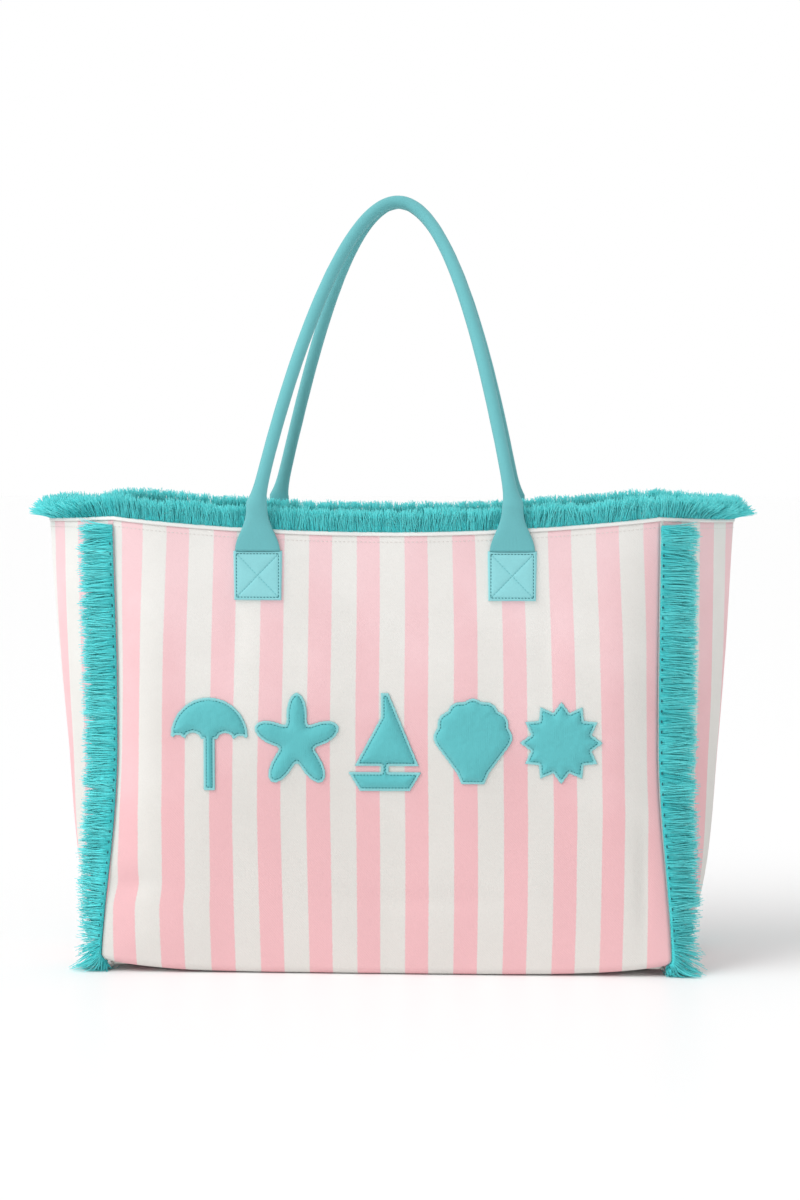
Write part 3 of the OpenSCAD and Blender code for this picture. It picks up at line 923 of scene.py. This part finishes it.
def rim_fringe(run, strands, rng):
    """Fringe standing on the rim, in soft bunches, leaning away from the handles."""
    fringe = Fringe(rng)
    width = pick(run, RIM_X, SIDE_RIM)
    for i in range(strands):
        a = 2 * (i + rng.random()) / strands - 1
        depth = rng.random()
        root = wall_point(run, a, rim_z(run, a), out=mix(-0.6, -4.6, depth) * MM)
        ahead = wall_point(run, min(1.0, a + RIM_STEP), rim_z(run, a))
        along = (ahead - wall_point(run, a - RIM_STEP, rim_z(run, a))).normalized()
        outward = along.cross(UP)
        place = a * width
        bunch = noise.noise(Vector((place * 170, run * 9, 0)))
        sway = noise.noise(Vector((place * 35, run * 9, 4)))
        stray = rng.random() ** 3
        splay = pick(run, 0.04 + 0.25 * stray, (1 - a * a) * mix(0.05, 1.7, stray) + 0.05)
        handle_off = abs(abs(root.x) - TAB_X) - HANDLE_NEAR
        near_handle = pick(run, 1 - smooth(handle_off / HANDLE_FADE), 0.0)
        lean = mix(splay + 0.30 * (0.5 - depth) + 0.12 * sway, HANDLE_LEAN, near_handle)
        tilt = 0.34 * bunch + 0.30 * sway + 0.34 * (rng.random() - 0.5)
        direction = UP + outward * lean + along * tilt
        pull = tuft_pull(place, mix(5.5, 8.0, rng.random() ** 4) * MM, run * 3.1)
        length = (18.6 + 3.0 * sway + 2.6 * bunch + 4.6 * (rng.random() - 0.5) - 2 * splay) * MM
        length -= abs(pull) * 0.5
        droop = outward * (3.5 * MM * (splay + 0.3 * (rng.random() - 0.4)) * (1 - near_handle))
        droop += along * (4.0 * MM * (rng.random() - 0.5) + 0.75 * pull) - UP * (1.5 * MM * splay)
        # Painted shade: strands rooted deeper inside the rim are painted darker; bunch and the random
        # part are each strand's own tone
        shade = 0.35 + 0.50 * rng.random() + 0.40 * bunch - 0.15 * depth
        fringe.plant(root + UP * 0.6 * MM, direction, droop, length, shade)
    fringe.finish(f"{RUN_NAMES[run]}_rim_fringe")


SEAM_ENDS = {
    "front_right": (RIGHT, -1),
    "back_right": (RIGHT, 1),
    "back_left": (LEFT, -1),
    "front_left": (LEFT, 1),
}


# How far the seam fringe stops short of the rim and the floor
SEAM_GAP = 5 * MM
SEAM_TUFT = 6.2 * MM
# Strands rooted below this height sweep down and outward, and no tip aims lower than TIP_LOW
SWEEP_H = 34 * MM
TIP_LOW = 1.4 * MM


def seam_fringe(corner, strands, rng):
    """Fringe down a seam: strands lie sideways over the side panel and curl at the floor."""
    run, end = SEAM_ENDS[corner]
    fringe = Fringe(rng)
    for i in range(strands):
        z = mix(SEAM_GAP, SEAM_H - SEAM_GAP, (i + rng.random()) / strands)
        row = rng.random()
        wavy = noise.noise(Vector((z * 85, run * 5 + end, 2)))
        gap = noise.noise(Vector((z * 38, run * 11 + end * 3, 9)))
        stray = rng.random() - 0.5
        root = wall_point(run, end * 0.998, z, out=(0.9 + 2.0 * row) * MM)
        aim_z = z + (6.5 * wavy + 4.0 * stray - 1.5) * MM
        lift = (3.0 + 6.5 * row + 2.0 * wavy) * MM
        target = wall_point(run, end * 0.68, max(2 * MM, aim_z), out=lift)
        low = 1 - smooth(z / SWEEP_H)
        direction = (target - root).normalized()
        direction = direction + UP * (-0.9 * low) + Vector((0, math.copysign(0.75 * low, root.y), 0))
        length = (31.5 + 1.6 * wavy + 3.4 * stray - 8 * max(0.0, gap - 0.45)) * MM
        scatter = Vector((rng.random() - 0.5, rng.random() - 0.5, 0.4 * (rng.random() - 0.5)))
        direction = direction + scatter * (0.35 + 0.7 * low)
        pull = tuft_pull(z, SEAM_TUFT, run * 3.1 + end)
        bend = UP * ((5.0 * (rng.random() - 0.6) + 1.2 * wavy) * MM + 0.25 * pull)
        tip_z = root.z + direction.normalized().z * length + bend.z
        if tip_z < TIP_LOW:
            bend = bend + UP * (TIP_LOW - tip_z)
        # Painted shade: strands rooted nearer the wall are painted darker; wavy and the random part are
        # each strand's own tone
        shade = 0.40 + 0.50 * rng.random() + 0.40 * wavy + 0.2 * (row - 0.5)
        fringe.plant(root, direction, bend, length, shade)
    fringe.finish(f"{corner}_seam_fringe")


HEADER_W = 3.2 * MM
HEADER_T = 0.6 * MM


def seam_fringe_header(corner):
    """The woven edge that the seam fringe hangs from."""
    run, end = SEAM_ENDS[corner]

    def place(a, b):
        z = mix(6 * MM, SEAM_H - SEAM_GAP, b)
        reach = HEADER_W / panel_y(z) * (a if end < 0 else 1 - a)
        return wall_point(run, end * (0.992 - reach), z, out=1.0 * MM)

    def uv(a, b):
        return a * HEADER_W, b * SEAM_H

    header = mapped_grid(f"{corner}_fringe_header", 4, 90, place, uv)
    thicken(header, HEADER_T)
    dress(header, HEADER_TAPE, "bag", "fringe")


# ------------------------ stitching
def stitch_template():
    """One short stitch, along X, one unit long and one unit thick."""
    bm = bmesh.new()
    bmesh.ops.create_icosphere(bm, subdivisions=1, radius=0.5)
    return new_mesh("stitch", bm)


STITCH = stitch_template()
# Pitch, length and thickness of each kind of row
RIM_ROW = (3.4 * MM, 2.6 * MM, 0.5 * MM)
TAB_ROW = (2.6 * MM, 2.0 * MM, 0.75 * MM)
PATCH_ROW = (2.6 * MM, 1.9 * MM, 0.85 * MM)
SEAM_STITCH = (8.3 * MM, 2.8 * MM, 1.7 * MM)
RIM_ROW_DROP = 6 * MM


class Sewing:
    """Rows of stitches in one mesh."""

    def __init__(self):
        self.bm = bmesh.new()
        self.pale = self.bm.verts.layers.float.new("pale")
        self.paleness = 0.0

    def stitch(self, middle, along, up, length, thickness):
        along = along.normalized()
        across = up.cross(along).normalized()
        lift = along.cross(across)
        for v in stamp(self.bm, STITCH):
            x, y, z = v.co
            v.co = middle + along * (x * length) + (across * y + lift * z) * thickness
            v[self.pale] = self.paleness

    def row(self, points, up, pitch, length, thickness):
        """Stitches at an even pitch along a line of close points; up(p) is the cloth's normal."""
        walked = pitch / 2
        for p, q in zip(points, points[1:]):
            step = (q - p).length
            while walked < step:
                middle = p.lerp(q, walked / step)
                self.stitch(middle, q - p, up(middle), length, thickness)
                walked += pitch
            walked -= step

    def finish(self, name, material, *nodes):
        dress(finish_mesh(name, self.bm), material, "bag", "thread", *nodes)


def outward_of(p):
    """Roughly outward from the bag at a point of its wall."""
    if abs(p.y) > 0.055 and abs(p.x) < BASE_X:
        return Vector((0, math.copysign(1, p.y), 0))
    return Vector((p.x - math.copysign(0.15, p.x), p.y, 0)).normalized()


def rim_topstitch():
    sewing = Sewing()
    for run in range(4):
        points = []
        for i in range(161):
            a = i / 80 - 1
            points.append(wall_point(run, a, rim_z(run, a) - RIM_ROW_DROP, out=0.12 * MM))
        sewing.row(points, outward_of, *RIM_ROW)
    sewing.finish("rim_topstitch", WHITE_THREAD)


def seam_stitches():
    """The dark stitches along the header of each seam fringe."""
    sewing = Sewing()
    pitch, length, thickness = SEAM_STITCH
    for run, end in SEAM_ENDS.values():
        for i in range(int((SEAM_H - 20 * MM) / pitch)):
            p = wall_point(run, end * 0.99, 12 * MM + i * pitch, out=3.2 * MM)
            sewing.stitch(p, UP, outward_of(p), length, thickness)
    sewing.finish("seam_stitches", DARK_THREAD)


# ------------------------ handles and tabs
FOLD_Z = SLEEVE_LOW.z
FLARE_TOP = ROPE_LOW.z
HANDLE_R = 5.15 * MM
HANDLE_SWAY = 6 * MM
# The last of each flare's taper, above its CAD solid's
TAPER = 3.2 * MM
TAPER_H = 8 * MM
APEX_Z = SLEEVE_HIGH.z - HANDLE_R
ARCH_DROP = APEX_Z - FLARE_TOP
ARCH_Y0 = panel_y(FLARE_TOP) + 0.4 * MM + HANDLE_R
ARCH_Y1 = HANDLE_R + 0.45 * MM
# Each flare's share of half the handle, how far it reaches down over its tab and its thinnest half
FLARE_PART = 0.14
FLARE_LAP = 0.6 * MM
FLARE_HALF_T = 1.4 * MM
# The cloth bends from the bag to the handle over this height
SLEEVE_T = 1.1 * MM


def arch_point(k, sway):
    z = APEX_Z - ARCH_DROP * k * k
    rise = (z - FLARE_TOP) / ARCH_DROP
    lean_in = rise * rise * (3 - rise) / 2
    return Vector((TAB_X * k + sway * (1 - k * k), -mix(ARCH_Y0, ARCH_Y1, lean_in), z))


def handle_station(t, sway):
    """Middle, half width and half thickness of a handle at share t of its length, from -1 to 1."""
    side = math.copysign(1.0, t)
    if abs(t) > 1 - FLARE_PART:
        f = (1 - abs(t)) / FLARE_PART
        z = mix(FOLD_Z - FLARE_LAP, FLARE_TOP, f)
        narrow = f ** 0.8
        half_w = mix(TAB_W / 2 - 1.2 * MM, HANDLE_R + TAPER, smooth(0.5 * narrow + 0.5 * smooth(narrow)))
        half_t = mix(FLARE_HALF_T, HANDLE_R, f ** 1.2)
        middle = Vector((side * TAB_X, -(panel_y(z) + 0.5 * MM + half_t), z))
        return middle, half_w, half_t, 1 - f
    k = t / (1 - FLARE_PART)
    middle = arch_point(math.copysign(abs(k) ** 0.82, k), sway)
    half_w = HANDLE_R + TAPER * math.exp(-(middle.z - FLARE_TOP) / TAPER_H)
    return middle, half_w, HANDLE_R, 0.0


HANDLE_STEP = 0.004


def handle_sleeve(body, mirrored):
    """The rolled handle and its two flat ends, one cloth sewn along the underside."""
    sway = -HANDLE_SWAY if mirrored else HANDLE_SWAY

    def ring(a, b):
        t = 2 * a - 1
        middle, half_w, half_t, flat = handle_station(t, sway)
        after = handle_station(min(1, t + HANDLE_STEP), sway)[0]
        ahead = (after - handle_station(max(-1, t - HANDLE_STEP), sway)[0]).normalized()
        wide = Vector((0, 1, 0)).cross(ahead).normalized()
        deep = ahead.cross(wide)
        angle = 2 * math.pi * b
        # The flat ends are squarer in section than the round handle
        power = mix(1.0, 0.62, smooth(flat * 1.3))
        cos, sin = math.cos(angle), math.sin(angle)
        x = math.copysign(abs(cos) ** power, cos)
        y = math.copysign(abs(sin) ** power, sin)
        near_seam = math.exp(-((min(b, 1 - b) * 2 * math.pi) / 0.16) ** 2)
        slack = 1 - 0.09 * near_seam * (1 - flat)
        slack += 0.02 * noise.noise(Vector((t * 26, cos, sin))) * (1 - flat)
        pinch = math.exp(-(t / 0.012) ** 2) + 0.6 * math.exp(-((abs(t) - 0.05) / 0.01) ** 2)
        slack -= 0.05 * pinch * max(0.0, cos)
        return middle + wide * x * half_w * slack + deep * y * half_t * slack

    def place(a, b):
        p = ring(a, b)
        return Vector((-p.x, -p.y, p.z)) if mirrored else p

    def uv(a, b):
        return b * 37 * MM, a * 0.78

    sleeve = mapped_grid(f"{body}_cloth", 300, 32, place, uv, closed=True)
    rework(sleeve, outward_faces)
    thicken(sleeve, SLEEVE_T)
    dress(sleeve, HANDLE_CLOTH, None, "handle_cloth", f"{body}_sleeve")
    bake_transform(sleeve)


# Each tab's wall, the side of the middle it is on, and the canvas it is sewn to
TAB_SIDES = {
    "front_left": ("front", -1, "front_canvas"), "front_right": ("front", 1, "front_canvas"),
    "rear_left": ("rear", 1, "back_canvas"), "rear_right": ("rear", -1, "back_canvas"),
}
TAB_BORDER = 2.3 * MM
TAB_PUFF = 2.3 * MM
TAB_LIFT = 0.3 * MM
TAB_EDGE = 1.6 * MM


def facing(side):
    """1 for the front, -1 for the rear."""
    return 1 if side == "front" else -1


def on_tab(corner, x, z, out):
    """A point x and z from a tab's middle, moved outward by out."""
    side, sign, _ = TAB_SIDES[corner]
    return on_wall(side, sign * TAB_X + facing(side) * x, TAB_TOP - TAB_H / 2 + z, out=out)


def tab_uv(a, b):
    return (a - 0.5) * TAB_W, (b - 0.5) * TAB_H


def tab_height(x, z):
    """How far a tab's face stands off its back; x and z are from its middle."""
    edge = min(TAB_W / 2 - abs(x), TAB_H / 2 - abs(z))
    height = TAB_PUFF * smooth((edge + 0.4 * MM) / (1.8 * MM)) ** 0.5
    border = edge - TAB_BORDER
    height -= 0.65 * MM * math.exp(-(border / (0.55 * MM)) ** 2)
    if border > 0:
        w, h = TAB_W - 2 * TAB_BORDER, TAB_H - 2 * TAB_BORDER
        long = math.hypot(w, h)
        cross = min(abs(x * h - z * w), abs(x * h + z * w)) / long
        height -= 0.55 * MM * math.exp(-(cross / (0.6 * MM)) ** 2)
        height += 0.35 * MM * smooth(border / (5 * MM)) * smooth(cross / (5 * MM))
    return height


def handle_tab(corner):
    """A square folded cloth tab, sewn flat with a border and a cross."""
    side, _, canvas = TAB_SIDES[corner]

    def place(a, b):
        x, z = tab_uv(a, b)
        x *= 1 + 0.015 * math.sin(z * 90)
        return on_tab(corner, x, z, TAB_LIFT + tab_height(x, z))

    def fold_edges(bm):
        rim_edges = [e for e in bm.edges if e.is_boundary]
        for v in only_verts(bmesh.ops.extrude_edge_only(bm, edges=rim_edges)["geom"]):
            v.co.y += facing(side) * TAB_EDGE

    tab = mapped_grid(f"{corner}_tab_cloth", 72, 76, place, tab_uv)
    rework(tab, fold_edges)
    thicken(tab, 0.5 * MM)
    dress(tab, TAB_CLOTH, "bag", "handle_cloth", f"{corner}_tab")


def tab_stitching():
    sewing = Sewing()
    w, h = TAB_W / 2 - TAB_BORDER, TAB_H / 2 - TAB_BORDER
    corners = [(-w, -h), (w, -h), (w, h), (-w, h)]
    lines = list(zip(corners, corners[1:] + corners[:1]))
    lines += [(corners[0], corners[2]), (corners[1], corners[3])]
    for corner, (side, _, _) in TAB_SIDES.items():
        up = Vector((0, -facing(side), 0))
        for (x0, z0), (x1, z1) in lines:
            sewing.paleness = 1.0 if x0 != x1 and z0 != z1 else 0.0
            points = []
            for i in range(41):
                x, z = mix(x0, x1, i / 40), mix(z0, z1, i / 40)
                points.append(on_tab(corner, x, z, TAB_LIFT + tab_height(x, z) + 0.08 * MM))
            sewing.row(points, lambda p: up, *TAB_ROW)
    sewing.finish("tab_threads", DARK_THREAD, "tab_stitching")


def tab_backing(corner):
    def place(a, b):
        return on_tab(corner, *tab_uv(a, b), -1.5 * MM)

    def uv(a, b):
        return a * TAB_W, b * TAB_H

    backing = mapped_grid(f"{corner}_backing_cloth", 12, 12, place, uv)
    thicken(backing, 0.8 * MM)
    dress(backing, LINING_CLOTH, "bag", "backing_cloth", f"{corner}_backing")


# ------------------------ padded patches
def arc_points(x, y, r, start, stop, count):
    made = []
    for i in range(count + 1):
        angle = math.radians(mix(start, stop, i / count))
        made.append((x + r * math.cos(angle), y + r * math.sin(angle)))
    return made


def umbrella_outline():
    return ([(-4.5, -39), (4.5, -39), (4.5, 2)] + arc_points(13, 0, 7, 165, 15, 4)
            + arc_points(25, 0, 5, 150, 30, 3) + [(31, 4)] + arc_points(0, 4, 31, 12, 168, 14)
            + [(-31, 4)] + arc_points(-25, 0, 5, 150, 30, 3) + arc_points(-13, 0, 7, 165, 15, 4)
            + [(-4.5, 2)])


def starfish_outline():
    made = []
    for i in range(60):
        angle = math.radians(6 * i)
        r = 25 + 10 * math.cos(5 * angle)
        made.append((r * math.sin(angle), 1.12 * r * math.cos(angle)))
    return made


def sailboat_outline():
    return [(-20, -39), (20, -39), (29, -24), (3, -24), (3, -19), (27, -19), (3, 39), (-3, 39),
            (-3, 20), (-24, -19), (-3, -19), (-3, -24), (-29, -24)]


def shell_outline():
    fan = []
    for i in range(49):
        angle = math.radians(mix(-12, 192, i / 48))
        r = 30 + 2.2 * abs(math.sin(math.radians(7 * 180 * i / 48)))
        fan.append((r * math.cos(angle) * 0.97, 3 + r * math.sin(angle)))
    return [(-9, -33), (9, -33), (13, -24)] + fan + [(-13, -24)]


def sun_outline():
    made = []
    for i in range(24):
        angle = math.radians(15 * i)
        r = 33 if i % 2 == 0 else 25
        made.append((r * math.sin(angle), r * math.cos(angle)))
    return made


PATCHES = {
    "umbrella": umbrella_outline, "starfish": starfish_outline, "sailboat": sailboat_outline,
    "shell": shell_outline, "sun": sun_outline,
}
PATCH_EDGE = 2.4 * MM
# Height of a patch's cut edge, depth and half width of its groove, height of its padding
PATCH_T = 0.9 * MM
GROOVE = 0.5 * MM
PUFF = 3.1 * MM
PUFF_REACH = 2.6 * MM
PATCH_CELL = 0.9 * MM
PATCH_LIFT = 0.25 * MM


def nearest_on_outline(points, outline):
    """For each point, its distance inside the outline (negative outside) and the nearest edge point."""
    ends = np.roll(outline, -1, axis=0)
    along = ends - outline
    from_start = points[:, None, :] - outline[None, :, :]
    share_along = (from_start * along).sum(2) / (along * along).sum(1)
    share_along = np.clip(share_along, 0, 1)
    nearest = outline[None, :, :] + along[None, :, :] * share_along[..., None]
    distance = np.linalg.norm(points[:, None, :] - nearest, axis=2)
    best = distance.argmin(1)
    rows = np.arange(len(points))
    x, y = points[:, None, 0], points[:, None, 1]
    x0, y0 = outline[None, :, 0], outline[None, :, 1]
    x1, y1 = ends[None, :, 0], ends[None, :, 1]
    crosses = (y0 > y) != (y1 > y)
    rise = np.where(y1 == y0, 1e-12, y1 - y0)
    inside = (crosses & (x < (x1 - x0) * (y - y0) / rise + x0)).sum(1) % 2 == 1
    return np.where(inside, distance[rows, best], -distance[rows, best]), nearest[rows, best]


def patch_rise(inside):
    """Height of a patch at a distance inside its cut edge: flat edge, stitched groove, padding."""
    groove = GROOVE * math.exp(-((inside - PATCH_EDGE) / GROOVE) ** 2)
    puff = 0.0
    if inside > PATCH_EDGE:
        puff = PUFF * (1 - math.exp(-(inside - PATCH_EDGE) / PUFF_REACH))
    return PATCH_T - groove + puff


def padded_patch(motif):
    """A padded cloth patch: a sheet trimmed to the outline, with its face pushed out by the pad."""
    low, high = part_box(f"{motif}_patch")
    middle = Vector(((low.x + high.x) / 2, 0, 0))
    outline = np.array(PATCHES[motif](), float) * MM
    drop = high.z - outline[:, 1].max()
    reach = np.abs(outline).max() + 2 * MM
    bm = bmesh.new()
    count = int(2 * reach / PATCH_CELL)
    bmesh.ops.create_grid(bm, x_segments=count, y_segments=count, size=reach)
    layer = bm.verts.layers.float.new("edge")
    flat = np.array([(v.co.x, v.co.y) for v in bm.verts])
    inside, nearest = nearest_on_outline(flat, outline)
    depth = {}
    for v, d, edge in zip(list(bm.verts), inside, nearest):
        if d < -0.5 * PATCH_CELL:
            bm.verts.remove(v)
            continue
        if d < 0.5 * PATCH_CELL:
            v.co.x, v.co.y = edge
            d = 0.0
        depth[v] = d
    depths = {tuple(v.co): depth[v] for v in bm.verts}
    grown = bmesh.ops.extrude_face_region(bm, geom=list(bm.faces), use_keep_orig=True)["geom"]
    face_verts = set(only_verts(grown))
    for v in bm.verts:
        x, z = v.co.x, v.co.y
        out = PATCH_LIFT
        if v in face_verts:
            d = depths[tuple(v.co)]
            out += patch_rise(d)
            crease = noise.noise(Vector((x * 260, z * 260, 1)))
            puffed = smooth((d - PATCH_EDGE) / (4 * MM))
            out += 0.30 * MM * crease * puffed
            v[layer] = 1 - smooth((d - PATCH_EDGE + 1.0 * MM) / (0.8 * MM))
        v.co = on_wall("front", middle.x + x, z + drop, out=out)
    outward_faces(bm)
    patch = finish_mesh(f"{motif}_appliqued_patch", bm)
    dress(patch, PATCH_CLOTH, "bag", "patch_cloth", f"{motif}_patch", f"{motif}_pad")
    return outline, middle, drop


def patch_stitching(places):
    """The dark row of stitches in the groove round each patch's padding."""
    sewing = Sewing()
    for outline, middle, drop in places:
        close = []
        for p, q in zip(outline, np.roll(outline, -1, axis=0)):
            steps = max(1, int(np.linalg.norm(q - p) / (0.7 * MM)))
            for i in range(steps):
                close.append(p + (q - p) * i / steps)
        close = np.array(close)
        ahead = np.roll(close, -1, axis=0) - np.roll(close, 1, axis=0)
        ahead /= np.linalg.norm(ahead, axis=1)[:, None]
        normal = np.stack([-ahead[:, 1], ahead[:, 0]], 1)
        for sign in (1, -1):
            inner = close + normal * sign * PATCH_EDGE
            inside, _ = nearest_on_outline(inner, outline)
            if (inside > 0).mean() > 0.5:
                break
        kept = inner[inside > PATCH_EDGE * 0.93]
        out = PATCH_LIFT + patch_rise(PATCH_EDGE) + 0.15 * MM
        points = [on_wall("front", middle.x + x, z + drop, out=out) for x, z in kept]
        line = []
        for p, q in zip(points, points[1:] + points[:1]):
            if line and (p - line[-1]).length > 3 * MM:
                sewing.row(line, outward_of, *PATCH_ROW)
                line = []
            line.append(p)
        sewing.row(line, outward_of, *PATCH_ROW)
    sewing.finish("patch_threads", DARK_THREAD)


# ------------------------ the bag
for run in range(4):
    canvas_wall(run, pick(run, 150, 90), 120)
    hem_facing(run, pick(run, 110, 60))
    lining_wall(run, pick(run, 80, 50), 60)
bottom_cloth()
stiff_base()
bottom_lining_cloth()
rim_binding()
rim_topstitch()

rng = random.Random(7)
for run in range(4):
    rim_fringe(run, pick(run, 5200, 2800), rng)
for corner in SEAM_ENDS:
    seam_fringe(corner, 4200, rng)
    seam_fringe_header(corner)
seam_stitches()

for body, mirrored in (("front_handle", False), ("rear_handle", True)):
    handle_sleeve(body, mirrored)
for corner in TAB_SIDES:
    handle_tab(corner)
    tab_backing(corner)
tab_stitching()
patch_stitching([padded_patch(motif) for motif in PATCHES])

for node in ("front_handle_rope", "rear_handle_rope"):
    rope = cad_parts[node]
    rope.data.materials.clear()
    rope.data.materials.append(ROPE_COTTON)


# ------------------------ floor, light and camera
FLOOR_SIZE = 12
FLOOR_SHADE = 0.94
FLOOR_ROUGHNESS = 0.42
FLOOR_SHINE = 0.1
FLOOR_Z = -0.3 * MM
# Strength of the studio's light, and how much brighter its backdrop looks to the camera
WORLD_LIGHT = 0.73
WORLD_SEEN = 0.27
SUN_FROM = (-1.0, -0.55, 1.15)
SUN_ANGLE = 42
SUN_STRENGTH = 1.75
EYE = (0.125, -RIM_Y - 2.148, 0.450)
EYE_TILT = 86.02
EYE_TURN = 3.01
LENS = 82
SENSOR = 36


def pale_floor():
    material, _, shader = new_material("pale_floor")
    shader.inputs["Base Color"].default_value = (FLOOR_SHADE, FLOOR_SHADE, FLOOR_SHADE, 1)
    shader.inputs["Roughness"].default_value = FLOOR_ROUGHNESS
    shader.inputs["Specular IOR Level"].default_value = FLOOR_SHINE
    bm = bmesh.new()
    bmesh.ops.create_grid(bm, x_segments=1, y_segments=1, size=FLOOR_SIZE)
    bmesh.ops.translate(bm, vec=(0, 0, FLOOR_Z), verts=bm.verts)
    floor = finish_mesh("floor", bm)
    floor.data.materials.append(material)


def studio():
    world = bpy.data.worlds.new("studio")
    world.use_nodes = True
    bpy.context.scene.world = world
    tree = world.node_tree
    back = tree.nodes["Background"]
    seen = tree.nodes.new("ShaderNodeLightPath").outputs["Is Camera Ray"]
    strength = maths(tree, "ADD", maths(tree, "MULTIPLY", seen, WORLD_SEEN), WORLD_LIGHT)
    tree.links.new(strength, back.inputs["Strength"])
    back.inputs["Color"].default_value = (1, 1, 1, 1)
    bpy.context.scene.view_settings.view_transform = "Standard"


def soft_sun():
    """Broad even light from one side, shining toward the origin."""
    light = bpy.data.lights.new("key", "SUN")
    light.angle = math.radians(SUN_ANGLE)
    light.energy = SUN_STRENGTH
    lamp = new_object("key", light)
    lamp.location = SUN_FROM
    lamp.rotation_euler = (-Vector(SUN_FROM)).to_track_quat("-Z", "Y").to_euler()


def camera():
    data = bpy.data.cameras.new("camera")
    data.lens = LENS
    data.sensor_width = SENSOR
    eye = new_object("camera", data)
    eye.location = EYE
    eye.rotation_euler = (math.radians(EYE_TILT), 0, math.radians(EYE_TURN))
    bpy.context.scene.camera = eye


pale_floor()
studio()
soft_sun()
camera()
